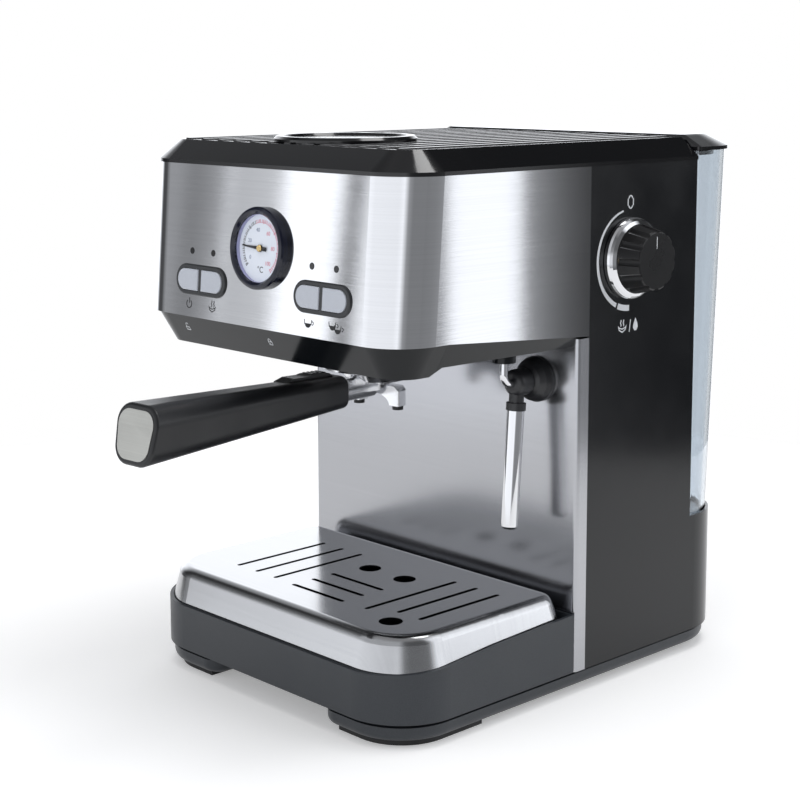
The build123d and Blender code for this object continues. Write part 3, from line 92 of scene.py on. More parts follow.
class Graph:
    """Adds and joins the nodes of one shader tree."""

    NOISE_SPAN = (0.3, 0.7)
    RANGE_INPUTS = ("From Min", "From Max", "To Min", "To Max")

    def __init__(self, tree: bpy.types.NodeTree) -> None:
        """Keep the tree that the nodes go into."""
        self.tree = tree

    def add(self, kind: str, **settings: object) -> bpy.types.Node:
        """Add a node.

        Args:
            kind: Type name of the node, without its ShaderNode prefix.
            settings: Properties of the node to set.

        Returns:
            The new node.
        """
        node = self.tree.nodes.new("ShaderNode" + kind)
        for name, value in settings.items():
            setattr(node, name, value)
        return node

    def join(self, source: Socket, target: Socket) -> None:
        """Join an output to an input."""
        self.tree.links.new(source, target)

    def math(self, operation: str, first: object, second: object = 0.0) -> Socket:
        """Add a Math node.

        Args:
            operation: Blender's name of the operation.
            first: A socket or a number.
            second: A socket or a number.

        Returns:
            The node's output.
        """
        node = self.add("Math", operation=operation)
        for index, value in enumerate((first, second)):
            if isinstance(value, Socket):
                self.join(value, node.inputs[index])
            else:
                node.inputs[index].default_value = value
        return node.outputs[0]

    def noise(self, stretch: Spot, detail: float) -> Socket:
        """Add noise on the object's own coordinates.

        Args:
            stretch: Noise cells per metre along X, Y and Z.
            detail: Levels of finer noise.

        Returns:
            The noise value.
        """
        place = self.add("TexCoord")
        scale = self.add("Mapping")
        scale.inputs["Scale"].default_value = stretch
        grain = self.add("TexNoise")
        grain.inputs["Scale"].default_value = 1.0
        grain.inputs["Detail"].default_value = detail
        self.join(place.outputs["Object"], scale.inputs["Vector"])
        self.join(scale.outputs["Vector"], grain.inputs["Vector"])
        return grain.outputs[0]

    def spread(self, value: Socket, low: float, high: float) -> Socket:
        """Spread a noise value over a range.

        Args:
            value: Noise, most of it between 0.3 and 0.7.
            low: What 0.3 becomes.
            high: What 0.7 becomes.

        Returns:
            The spread value.
        """
        return self.remap(value, self.NOISE_SPAN, (low, high))

    def remap(self, value: Socket, before: Point, after: Point = (0.0, 1.0)) -> Socket:
        """Map one range of a value to another, held at both ends.

        Args:
            value: The value.
            before: Its range.
            after: The range that it gets.

        Returns:
            The mapped value.
        """
        node = self.add("MapRange")
        for label, bound in zip(self.RANGE_INPUTS, (*before, *after)):
            node.inputs[label].default_value = bound
        self.join(value, node.inputs["Value"])
        return node.outputs[0]

    def mix(self, factor: Socket, first: object, second: object) -> Socket:
        """Mix two colours.

        Args:
            factor: Share of the second colour.
            first: A socket or a colour.
            second: A socket or a colour.

        Returns:
            The mixed colour.
        """
        node = self.add("Mix", data_type="RGBA")
        self.join(factor, node.inputs["Factor"])
        sockets = [entry for entry in node.inputs if entry.type == "RGBA"]
        for socket, value in zip(sockets, (first, second)):
            if isinstance(value, Socket):
                self.join(value, socket)
            else:
                socket.default_value = (*value, 1.0)
        return [entry for entry in node.outputs if entry.type == "RGBA"][0]

    def scale(self, colour: Socket, factor: Socket) -> Socket:
        """Scale a colour's brightness.

        Args:
            colour: The colour.
            factor: What it is multiplied by.

        Returns:
            The scaled colour.
        """
        node = self.add("VectorMath", operation="SCALE")
        self.join(colour, node.inputs[0])
        self.join(factor, node.inputs["Scale"])
        return node.outputs[0]


class Effects:
    """Shader groups that more than one finish uses."""

    CLOUDS = (38.0, 38.0, 38.0)
    PITS = (2600.0, 2600.0, 2600.0)
    BROAD_LINES = 0.24
    BUMP_HEIGHT = 0.0001
    RELIEF = {"Normal": "NodeSocketVector", "Mask": "NodeSocketFloat"}

    @staticmethod
    def fetch(
        name: str, sockets: dict[str, str], inputs: dict[str, float]
    ) -> tuple[bpy.types.NodeTree, bool]:
        """Find or start a shader group.

        Args:
            name: Name of the group.
            sockets: Output names and their socket types.
            inputs: Input names and their usual values.

        Returns:
            The group, and whether it is new and still empty.
        """
        found = bpy.data.node_groups.get(name)
        if found:
            return found, False
        tree = bpy.data.node_groups.new(name, "ShaderNodeTree")
        for label, value in inputs.items():
            socket = tree.interface.new_socket(label, in_out="INPUT", socket_type="NodeSocketFloat")
            socket.default_value = value
        for label, kind in sockets.items():
            tree.interface.new_socket(label, in_out="OUTPUT", socket_type=kind)
        return tree, True

    @classmethod
    def emboss(cls, graph: Graph, height: Socket, mask: Socket) -> None:
        """Put a height out as a bumped normal, and a mask beside it.

        Args:
            graph: The group's node tree.
            height: Height of the bump.
            mask: The mask.
        """
        entry = graph.tree.nodes.new("NodeGroupInput")
        leave = graph.tree.nodes.new("NodeGroupOutput")
        bump = graph.add("Bump")
        bump.inputs["Distance"].default_value = cls.BUMP_HEIGHT
        graph.join(height, bump.inputs["Height"])
        graph.join(entry.outputs["Strength"], bump.inputs["Strength"])
        graph.join(bump.outputs["Normal"], leave.inputs["Normal"])
        graph.join(mask, leave.inputs["Mask"])

    @classmethod
    def handling(cls) -> bpy.types.NodeTree:
        """Faint cloudy marks of handling.

        Returns:
            A group with a Roughness output around its Base input.
        """
        tree, new = cls.fetch(
            "handling",
            {"Roughness": "NodeSocketFloat"},
            {"Base": 0.3, "Amount": 0.05},
        )
        if new:
            graph = Graph(tree)
            entry = tree.nodes.new("NodeGroupInput")
            leave = tree.nodes.new("NodeGroupOutput")
            cloud = graph.spread(graph.noise(cls.CLOUDS, 5.0), -1.0, 1.0)
            shift = graph.math("MULTIPLY", cloud, entry.outputs["Amount"])
            graph.join(graph.math("ADD", entry.outputs["Base"], shift), leave.inputs["Roughness"])
        return tree

    @classmethod
    def grain(cls) -> bpy.types.NodeTree:
        """Fine spark-eroded grain of moulded plastic.

        Returns:
            A group with Normal and Mask outputs.
        """
        tree, new = cls.fetch("mould_grain", cls.RELIEF, {"Strength": 0.1})
        if new:
            graph = Graph(tree)
            pits = graph.noise(cls.PITS, 2.0)
            cls.emboss(graph, pits, pits)
        return tree

    @classmethod
    def lines(cls, brush: Brush) -> bpy.types.NodeTree:
        """Brush lines of a metal sheet.

        Args:
            brush: Which way the sheet is brushed.

        Returns:
            A group with Normal and Mask outputs.
        """
        tree, new = cls.fetch(f"brush_{brush.name.lower()}", cls.RELIEF, {"Strength": 0.1})
        if new:
            graph = Graph(tree)
            fine = graph.noise(brush.value, 3.0)
            broad = graph.noise(tuple(value * cls.BROAD_LINES for value in brush.value), 2.0)
            both = graph.math("MULTIPLY", graph.math("ADD", fine, broad), 0.5)
            cls.emboss(graph, fine, both)
        return tree


@dataclass(frozen=True)
class Finish:
    """A surface finish, made into a material once."""

    name: str
    colour: Colour
    roughness: float = 0.35

    def material(self) -> bpy.types.Material:
        """Find or make the material.

        Returns:
            The material with this finish's name.
        """
        found = bpy.data.materials.get(self.name)
        if found:
            return found
        made = bpy.data.materials.new(self.name)
        made.use_nodes = True
        made.diffuse_color = (*self.colour, 1.0)
        shader = made.node_tree.nodes["Principled BSDF"]
        shader.inputs["Base Color"].default_value = (*self.colour, 1.0)
        shader.inputs["Roughness"].default_value = self.roughness
        self.paint(Graph(made.node_tree), shader)
        return made

    def paint(self, graph: Graph, shader: bpy.types.Node) -> None:
        """Set the shader up; each kind of finish has its own way.

        Args:
            graph: The material's node tree.
            shader: Its Principled BSDF.
        """
        raise NotImplementedError

    def place(self, graph: Graph, tree: bpy.types.NodeTree, **values: float) -> bpy.types.Node:
        """Place a shared effect in the material.

        Args:
            graph: The material's node tree.
            tree: The effect's group.
            values: Values for the group's inputs.

        Returns:
            The group's node.
        """
        node = graph.add("Group", node_tree=tree)
        for label, value in values.items():
            node.inputs[label].default_value = value
        return node

    def shade(self, graph: Graph, mask: Socket, low: float, high: float) -> Socket:
        """Vary the finish's colour by a mask.

        Args:
            graph: The material's node tree.
            mask: Noise value.
            low: Brightness factor where the mask is low.
            high: Brightness factor where the mask is high.

        Returns:
            The varied colour.
        """
        dark, light = (tuple(min(1.0, part * gain) for part in self.colour) for gain in (low, high))
        return graph.mix(graph.spread(mask, 0.0, 1.0), dark, light)

    def handled(self, graph: Graph, shader: bpy.types.Node, amount: float) -> None:
        """Vary the roughness by faint marks of handling.

        Args:
            graph: The material's node tree.
            shader: Its Principled BSDF.
            amount: How far the roughness strays.
        """
        marks = self.place(graph, Effects.handling(), Base=self.roughness, Amount=amount)
        graph.join(marks.outputs["Roughness"], shader.inputs["Roughness"])


@dataclass(frozen=True)
class BrushedMetal(Finish):
    """Sheet metal with fine brush lines."""

    HANDLING = 0.008
    QUARTER_TURN = 0.25
    brush: Brush = Brush.LEVEL
    stretch: float = 0.0
    contrast: float = 0.1
    depth: float = 0.1

    def paint(self, graph: Graph, shader: bpy.types.Node) -> None:
        """Lines in colour and bump, with highlights drawn out where stretch is set."""
        shader.inputs["Metallic"].default_value = 1.0
        shader.inputs["Anisotropic"].default_value = self.stretch
        shader.inputs["Anisotropic Rotation"].default_value = self.QUARTER_TURN
        lines = self.place(graph, Effects.lines(self.brush), Strength=self.depth)
        colour = self.shade(graph, lines.outputs["Mask"], 1.0 - self.contrast, 1.0 + self.contrast)
        graph.join(colour, shader.inputs["Base Color"])
        graph.join(lines.outputs["Normal"], shader.inputs["Normal"])
        self.handled(graph, shader, self.HANDLING)


@dataclass(frozen=True)
class BrightMetal(Finish):
    """Polished, plated or cast metal."""

    HANDLING = 0.03
    CAST_SHADES = (0.93, 1.05)
    grain: float = 0.0

    def paint(self, graph: Graph, shader: bpy.types.Node) -> None:
        """Plain metal with marks of handling, and grain where it is cast."""
        shader.inputs["Metallic"].default_value = 1.0
        self.handled(graph, shader, self.HANDLING)
        if self.grain:
            pits = self.place(graph, Effects.grain(), Strength=self.grain)
            graph.join(pits.outputs["Normal"], shader.inputs["Normal"])
            colour = self.shade(graph, pits.outputs["Mask"], *self.CAST_SHADES)
            graph.join(colour, shader.inputs["Base Color"])


@dataclass(frozen=True)
class Moulded(Finish):
    """Moulded plastic, rubber or board."""

    HANDLING_SHARE = 0.15
    grain: float = 0.1
    flecks: float = 0.12
    ior: float = 1.5

    def paint(self, graph: Graph, shader: bpy.types.Node) -> None:
        """Grain in colour and bump, and cloudy roughness."""
        shader.inputs["IOR"].default_value = self.ior
        pits = self.place(graph, Effects.grain(), Strength=self.grain)
        graph.join(pits.outputs["Normal"], shader.inputs["Normal"])
        colour = self.shade(graph, pits.outputs["Mask"], 1.0 - self.flecks, 1.0 + self.flecks)
        graph.join(colour, shader.inputs["Base Color"])
        self.handled(graph, shader, self.roughness * self.HANDLING_SHARE)


@dataclass(frozen=True)
class Clear(Finish):
    """Clear plastic or glass."""

    HANDLING = 0.015
    ior: float = 1.46

    def paint(self, graph: Graph, shader: bpy.types.Node) -> None:
        """Clear body with faint marks of handling."""
        shader.inputs["Transmission Weight"].default_value = 1.0
        shader.inputs["IOR"].default_value = self.ior
        self.handled(graph, shader, self.HANDLING)


class Shop:
    """The finishes of this machine."""

    BAND = BrushedMetal("band_steel", (0.62, 0.625, 0.64), 0.035, contrast=0.035, depth=0.035)
    PLATE = BrushedMetal("splash_steel", (0.43, 0.435, 0.455), 0.19, contrast=0.03, depth=0.02)
    COVER = BrushedMetal("cover_steel", (0.45, 0.455, 0.465), 0.17, Brush.ACROSS, contrast=0.04, depth=0.03)
    SHEET = BrushedMetal("inner_steel", (0.55, 0.55, 0.56), 0.35, Brush.ROUND)
    END_PLATE = BrushedMetal(
        "end_plate_metal", (0.5, 0.5, 0.47), 0.38, stretch=0.4, contrast=0.06, depth=0.12
    )
    CHROME = BrightMetal("bright_plate", (0.7, 0.705, 0.72), 0.06)
    CAST = BrightMetal("cast_alloy", (0.76, 0.765, 0.78), 0.2, grain=0.08)
    RAW_CAST = BrightMetal("raw_cast_alloy", (0.55, 0.55, 0.56), 0.42, grain=0.3)
    BRASS = BrightMetal("turned_brass", (0.72, 0.53, 0.24), 0.24, grain=0.06)
    ZINC = BrightMetal("zinc_plate", (0.6, 0.61, 0.62), 0.3, grain=0.1)
    BLACK = Moulded("satin_black", (0.0055, 0.0062, 0.0075), 0.17, grain=0.03, flecks=0.15, ior=1.42)
    CHIN = Moulded("chin_black", (0.005, 0.0062, 0.0075), 0.13, grain=0.03, flecks=0.1, ior=1.36)
    GLOSS = Moulded("lid_gloss", (0.004, 0.0042, 0.005), 0.12, grain=0.02, flecks=0.1)
    HANDLE = Moulded("handle_black", (0.006, 0.0064, 0.0078), 0.38, grain=0.1, flecks=0.2)
    CHARCOAL = Moulded("charcoal", (0.026, 0.031, 0.038), 0.38, grain=0.12, flecks=0.22)
    DARK_GREY = Moulded("elbow_grey", (0.018, 0.0185, 0.021), 0.34, grain=0.08, flecks=0.2)
    BEZEL = Moulded("bezel_navy", (0.006, 0.008, 0.022), 0.16, grain=0.02, flecks=0.1)
    FRAME_GREY = Moulded("pill_frame", (0.032, 0.034, 0.037), 0.36, grain=0.08, flecks=0.15)
    KEY_GREY = Moulded("key_silver", (0.6, 0.63, 0.69), 0.38, grain=0.1, flecks=0.06)
    KNOB = Moulded("knob_black", (0.006, 0.006, 0.0066), 0.28, grain=0.06, flecks=0.15, ior=1.42)
    LENS = Moulded("lamp_dark", (0.007, 0.007, 0.008), 0.1, grain=0.01, flecks=0.1)
    RUBBER = Moulded("rubber", (0.016, 0.016, 0.017), 0.62, grain=0.3, flecks=0.25)
    HOSE = Moulded("hose_silicone", (0.6, 0.61, 0.58), 0.4, grain=0.05, flecks=0.06)
    WHITE = Moulded("pump_white", (0.68, 0.68, 0.66), 0.4, grain=0.1, flecks=0.05)
    COIL = Moulded("coil_black", (0.02, 0.02, 0.022), 0.5, grain=0.3, flecks=0.3)
    BOARD = Moulded("board_green", (0.02, 0.1, 0.045), 0.45, grain=0.2, flecks=0.3)
    DIAL = Moulded("dial_enamel", (0.9, 0.94, 1.0), 0.5, grain=0.02, flecks=0.02)
    HAND = Moulded("hand_black", (0.008, 0.008, 0.012), 0.35, grain=0.02, flecks=0.1)
    TANK = Clear("tank_plastic", (0.7, 0.75, 0.8), 0.03)
    GLASS = Clear("gauge_pane", (0.96, 0.97, 1.0), 0.02, ior=1.05)
    INK_BLACK = Moulded("ink_black", (0.012, 0.012, 0.014), 0.5, grain=0.02, flecks=0.2)
    INK_WHITE = Moulded("ink_white", (0.8, 0.82, 0.84), 0.5, grain=0.02, flecks=0.04)
    INK_RED = Moulded("ink_red", (0.72, 0.18, 0.25), 0.5, grain=0.02, flecks=0.1)
    # Pale violet of the ring round the dial: painted reflection of the white dial in the wall round it.
    PAINTED_REFLECTION_RIM = Moulded("dial_rim_painted_reflection", (0.4, 0.4, 0.6), 0.25, grain=0.02, flecks=0.05)
    INK_BLUE = Moulded("ink_slate", (0.16, 0.2, 0.32), 0.5, grain=0.02, flecks=0.1)


@dataclass
class Machine:
    """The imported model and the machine's own axes."""

    nodes: dict[str, bpy.types.Object]
    origin: Vector

    @classmethod
    def load(cls) -> "Machine":
        """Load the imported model.

        Returns:
            The machine, its axes found from the column, the splash plate and the base.
        """
        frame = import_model()
        low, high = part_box("column_shell")
        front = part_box("splash_plate")[0].y
        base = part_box("base_plate")[0].z
        return cls(frame["nodes"], Vector(((low.x + high.x) / 2, front, base)))

    def face(self, origin: Spot, right: Vector, out: Vector) -> Matrix:
        """Axes of a flat face, for marks drawn in its millimetres.

        Args:
            origin: The face's zero, in machine millimetres.
            right: The face's X direction.
            out: The direction it faces.

        Returns:
            Matrix from the face's millimetres to the row frame.
        """
        side = right.normalized()
        normal = out.normalized()
        up = normal.cross(side)
        turn = Matrix((side, up, normal)).transposed().to_4x4()
        return Matrix.Translation(self.origin + Vector(origin) * MM) @ turn @ Matrix.Scale(MM, 4)

    def dress(self, finish: Finish, *names: str) -> None:
        """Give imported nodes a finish.

        Args:
            finish: The finish.
            names: The nodes.
        """
        for name in names:
            node = self.nodes[name]
            if not node.material_slots:
                node.data.materials.append(None)
            for slot in node.material_slots:
                slot.material = finish.material()
            log.info("%s: %s", name, finish.name)


@dataclass
class Section:
    """A sub-assembly that is dressed and may get pieces of its own."""

    machine: Machine

    def dress(self) -> None:
        """Give the section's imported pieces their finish."""
        raise NotImplementedError

    def build(self) -> None:
        """Add the section's own pieces, where it has any."""


def raise_wall(
    mesh: bmesh.types.BMesh, edges: list[bmesh.types.BMEdge], rise: float, width: float
) -> None:
    """Raise a line of edges into a thin wall.

    Args:
        mesh: The mesh that holds the edges.
        edges: The line.
        rise: Height of the wall.
        width: Its thickness.
    """
    wall = bmesh.ops.extrude_edge_only(mesh, edges=edges)["geom"]
    raised = [item for item in wall if isinstance(item, bmesh.types.BMVert)]
    faces = [item for item in wall if isinstance(item, bmesh.types.BMFace)]
    bmesh.ops.translate(mesh, vec=(0.0, 0.0, rise), verts=raised)
    bmesh.ops.recalc_face_normals(mesh, faces=faces)
    bmesh.ops.solidify(mesh, geom=faces, thickness=width)


class Marks:
    """Marks on one flat face, drawn in that face's own millimetres."""

    RISE = 0.05
    MERGE = 0.0005
    FEWEST_STEPS = 6
    DEGREES_A_STEP = 6
    SWEEP_STEPS = 40

    def __init__(self) -> None:
        """Start with an empty mesh."""
        self.mesh = bmesh.new()

    def ribbon(self, edges: list[bmesh.types.BMEdge], width: float) -> None:
        """Widen a line of edges into a thin raised ribbon.

        Args:
            edges: The line.
            width: Width of the stroke.
        """
        raise_wall(self.mesh, edges, self.RISE, width)

    def line(self, points: list[Point], width: float, closed: bool = False) -> None:
        """Draw a line through points.

        Args:
            points: Where it goes.
            width: Width of the stroke.
            closed: Whether it returns to its start.
        """
        spots = [self.mesh.verts.new((*point, 0.0)) for point in points]
        pairs = list(zip(spots, spots[1:]))
        if closed:
            pairs.append((spots[-1], spots[0]))
        self.ribbon([self.mesh.edges.new(pair) for pair in pairs], width)

    def arc(self, centre: Point, radius: float, start: float, stop: float, width: float) -> None:
        """Draw an arc.

        Args:
            centre: Its centre.
            radius: Its radius.
            start: Start angle in degrees, from the face's X direction.
            stop: Stop angle in degrees.
            width: Width of the stroke.
        """
        steps = max(self.FEWEST_STEPS, int(abs(stop - start) / self.DEGREES_A_STEP))
        turn = math.radians(start)
        spot = (centre[0] + radius * math.cos(turn), centre[1] + radius * math.sin(turn), 0.0)
        first = self.mesh.verts.new(spot)
        known = set(self.mesh.edges)
        bmesh.ops.spin(
            self.mesh,
            geom=[first],
            cent=(*centre, 0.0),
            axis=(0.0, 0.0, 1.0),
            angle=math.radians(stop - start),
            steps=steps,
            use_merge=False,
        )
        self.ribbon([edge for edge in self.mesh.edges if edge not in known], width)

    def patch(self, points: list[Point]) -> None:
        """Draw a filled outline.

        Args:
            points: Its corners, in turn.
        """
        spots = [self.mesh.verts.new((*point, 0.0)) for point in points]
        result = bmesh.ops.extrude_face_region(self.mesh, geom=[self.mesh.faces.new(spots)])
        moved = [item for item in result["geom"] if isinstance(item, bmesh.types.BMVert)]
        bmesh.ops.translate(self.mesh, vec=(0.0, 0.0, self.RISE), verts=moved)

    def sweep(self, radius: float, widths: Point, angles: Point) -> None:
        """Draw a filled arc round the face's zero, whose width changes along it.

        Args:
            radius: Its inner radius.
            widths: Width at the start and at the end.
            angles: Start and stop angle in degrees.
        """
        inner: list[Point] = []
        outer: list[Point] = []
        for step in range(self.SWEEP_STEPS + 1):
            share = step / self.SWEEP_STEPS
            turn = math.radians(angles[0] + share * (angles[1] - angles[0]))
            edge = radius + widths[0] + share * (widths[1] - widths[0])
            inner.append((radius * math.cos(turn), radius * math.sin(turn)))
            outer.append((edge * math.cos(turn), edge * math.sin(turn)))
        self.patch(inner + outer[::-1])

    def word(self, text: str, size: float, centre: Point) -> None:
        """Write a plain number or sign.

        Args:
            text: The characters.
            size: Height of the letters' body.
            centre: Middle of the text.
        """
        curve = bpy.data.curves.new("sign", "FONT")
        curve.body = text
        curve.size = size
        curve.align_x = "CENTER"
        curve.align_y = "CENTER"
        curve.extrude = self.RISE / 2
        holder = bpy.data.objects.new("sign", curve)
        letters = bpy.data.meshes.new_from_object(holder)
        letters.transform(Matrix.Translation((*centre, self.RISE / 2)))
        self.mesh.from_mesh(letters)
        bpy.data.objects.remove(holder)
        bpy.data.curves.remove(curve)
        bpy.data.meshes.remove(letters)

    def lay(self, name: str, face: Matrix, body: Body, finish: Finish) -> None:
        """Lay the marks on their face.

        Args:
            name: Name of the piece.
            face: Axes of the face.
            body: The body that carries it.
            finish: Its finish.
        """
        bmesh.ops.remove_doubles(self.mesh, verts=self.mesh.verts, dist=self.MERGE)
        bmesh.ops.recalc_face_normals(self.mesh, faces=self.mesh.faces)
        bmesh.ops.transform(self.mesh, matrix=face, verts=self.mesh.verts)
        settle(name, self.mesh, body, finish)


def settle(name: str, mesh: bmesh.types.BMesh, body: Body, finish: Finish) -> None:
    """Make a finished mesh a piece that rides on a body.

    Args:
        name: Name of the piece.
        mesh: Its mesh, in the row frame; it is freed.
        body: The body that carries it.
        finish: Its finish.
    """
    data = bpy.data.meshes.new(name)
    mesh.to_mesh(data)
    mesh.free()
    data.materials.append(finish.material())
    piece = bpy.data.objects.new(name, data)
    bpy.context.scene.collection.objects.link(piece)
    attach(piece, body.value)
    log.info("%s rides on %s", name, body.value)


@dataclass
class Shell(Section):
    """Base, column and rear base, with what stands inside them."""

    def dress(self) -> None:
        """Give every piece of the shell its finish."""
        dress = self.machine.dress
        dress(Shop.BLACK, "column_shell", "rear_base")
        dress(Shop.CHARCOAL, "base_plate")
        dress(Shop.PLATE, "splash_plate")
        dress(Shop.RUBBER, "rubber_feet", "cord_gland", "tank_seal", "group_gasket")
        dress(Shop.ZINC, "base_screws", "boiler_bolts", "pump_bracket")
        dress(Shop.RAW_CAST, "boiler_base", "boiler_cover", "group_head")
        dress(Shop.SHEET, "heating_element", "shower_screen")
        dress(Shop.BRASS, "steam_valve")
        dress(Shop.HOSE, "steam_hose", "pressure_hose", "inlet_hose")
        dress(Shop.WHITE, "pump_body")
        dress(Shop.COIL, "pump_coil")
        dress(Shop.BOARD, "control_board", "button_board")


@dataclass
class Head(Section):
    """Steel band, chin and ribbed lid."""

    reach: float = 129.5
    edge_z: float = 198.3
    chin_start: float = 1.2
    chin_slope: float = 11.0
    chin_drop: float = 17.0
    lock_open_x: float = -66.5
    lock_shut_x: float = 4.0
    lock_down: float = 8.4
    lock_stroke: float = 0.35
    key_stroke: float = 0.4
    shackle_r: float = 1.0

    def dress(self) -> None:
        """Give the head's pieces their finish."""
        dress = self.machine.dress
        dress(Shop.BAND, "head_band")
        dress(Shop.CHIN, "head_chin")
        dress(Shop.GLOSS, "top_lid", "cup_disc")
        dress(Shop.BLACK, "panel_frame")

    def padlock(self, marks: Marks, x: float, shut: bool) -> None:
        """Draw a small padlock.

        Args:
            marks: Where it is drawn.
            x: Its middle.
            shut: Whether the shackle is closed.
        """
        stroke = self.lock_stroke
        box = [(x - 1.5, -2.0), (x + 1.5, -2.0), (x + 1.5, 0.5), (x - 1.5, 0.5)]
        marks.line(box, stroke, True)
        marks.line([(x, -0.4), (x, -1.1)], self.key_stroke)
        top = 1.2 if shut else 1.9
        middle = x if shut else x + 0.5
        marks.arc((middle, top), self.shackle_r, 0.0, 180.0, stroke)
        sides = (-1, 1) if shut else (-1,)
        for side in sides:
            leg = middle + side * self.shackle_r
            marks.line([(leg, top), (leg, 0.5)], stroke)

    def build(self) -> None:
        """Print the two padlocks on the chin."""
        fall = self.chin_slope - self.chin_start
        slope = math.hypot(fall, self.chin_drop)
        out = Vector((0.0, -self.chin_drop, -fall))
        share = self.lock_down / slope
        y = -self.reach + self.chin_start + share * fall
        face = self.machine.face((0.0, y, self.edge_z - share * self.chin_drop), Vector((1, 0, 0)), out)
        marks = Marks()
        self.padlock(marks, self.lock_open_x, False)
        self.padlock(marks, self.lock_shut_x, True)
        marks.lay("chin_padlocks", face, Body.HOUSING, Shop.INK_WHITE)


@dataclass
class Panel(Section):
    """Buttons and lights on the band's front face."""

    tilt: float = 4.2
    reach: float = 129.5
    edge_z: float = 200.8
    middle: float = 1.0
    pair_x: float = 49.0
    key_x: float = 10.1
    icon_up: float = 4.4
    icon_size: float = 1.3
    near_cup: Point = (-1.8, 0.7)
    far_cup: Point = (2.1, -0.7)

    def face(self) -> Matrix:
        """Axes of the panel: X to the right, Y up the panel.

        Returns:
            Matrix from panel millimetres to the row frame.
        """
        lean = math.radians(self.tilt)
        out = Vector((0.0, -math.cos(lean), math.sin(lean)))
        return self.machine.face((0.0, -self.reach, self.edge_z), Vector((1, 0, 0)), out)

    def dress(self) -> None:
        """Give buttons, frames and lights their finish."""
        dress = self.machine.dress
        dress(Shop.FRAME_GREY, "left_button_frame", "right_button_frame")
        dress(Shop.KEY_GREY, "power_button", "steam_button", "single_cup_button", "double_cup_button")
        dress(Shop.LENS, "indicator_lights")

    def power(self, marks: Marks, x: float) -> None:
        """Draw a power sign."""
        up = self.icon_up
        size = self.icon_size
        marks.arc((x, up), 1.9 * size, 128.0, 412.0, 0.45 * size)
        marks.line([(x, up + 0.3 * size), (x, up + 2.6 * size)], 0.45 * size)

    def cup(self, marks: Marks, x: float, up: float) -> None:
        """Draw a filled cup with a handle.

        Args:
            marks: Where it is drawn.
            x: Middle of the cup.
            up: Height of its middle.
        """
        size = self.icon_size
        stroke = 0.35 * size
        for side in (-1, 1):
            wall = [(x + side * 2.0 * size, up + 1.5 * size), (x + side * 1.7 * size, up - 0.4 * size)]
            marks.line(wall, stroke)
        turns = arc_angles(180, 360)
        marks.patch([(x + 1.8 * size * math.cos(turn), up + 1.7 * size * math.sin(turn)) for turn in turns])
        marks.arc((x + 2.5 * size, up + 0.2 * size), 0.8 * size, -110.0, 110.0, stroke)

    def build(self) -> None:
        """Print the four signs under the buttons."""
        marks = Marks()
        left = self.middle - self.pair_x
        right = self.middle + self.pair_x
        self.power(marks, left - self.key_x)
        steam_sign(marks, left + self.key_x, self.icon_up, self.icon_size)
        self.cup(marks, right - self.key_x, self.icon_up)
        for across, up in (self.near_cup, self.far_cup):
            self.cup(marks, right + self.key_x + across, self.icon_up + up)
        marks.lay("panel_signs", self.face(), Body.HOUSING, Shop.INK_BLACK)


def arc_angles(start: float, stop: float, steps: int = 14) -> list[float]:
    """Angles along an arc.

    Args:
        start: Start angle in degrees.
        stop: Stop angle in degrees.
        steps: Number of steps.

    Returns:
        The angles in radians.
    """
    return [math.radians(start + (stop - start) * step / steps) for step in range(steps + 1)]


def steam_sign(marks: Marks, x: float, up: float, size: float) -> None:
    """Draw a steam sign: two curls over a notched bowl.

    Args:
        marks: Where it is drawn.
        x: Its middle.
        up: Height of its middle.
        size: Scale of the sign.
    """
    for shift in (-0.75, 0.75):
        curl = [(0.0, 0.1), (0.35, 0.7), (-0.1, 1.4), (0.3, 2.1), (0.1, 2.6)]
        marks.line([(x + size * (shift + a), up + size * b) for a, b in curl], 0.4 * size)
    brim = [(-2.4, 0.6), (-1.5, -0.2), (0.0, -0.6), (1.5, -0.2), (2.4, 0.6)]
    base = [(1.9, -1.2), (0.0, -2.2), (-1.9, -1.2)]
    marks.line([(x + size * a, up + size * b) for a, b in brim + base], 0.4 * size, True)


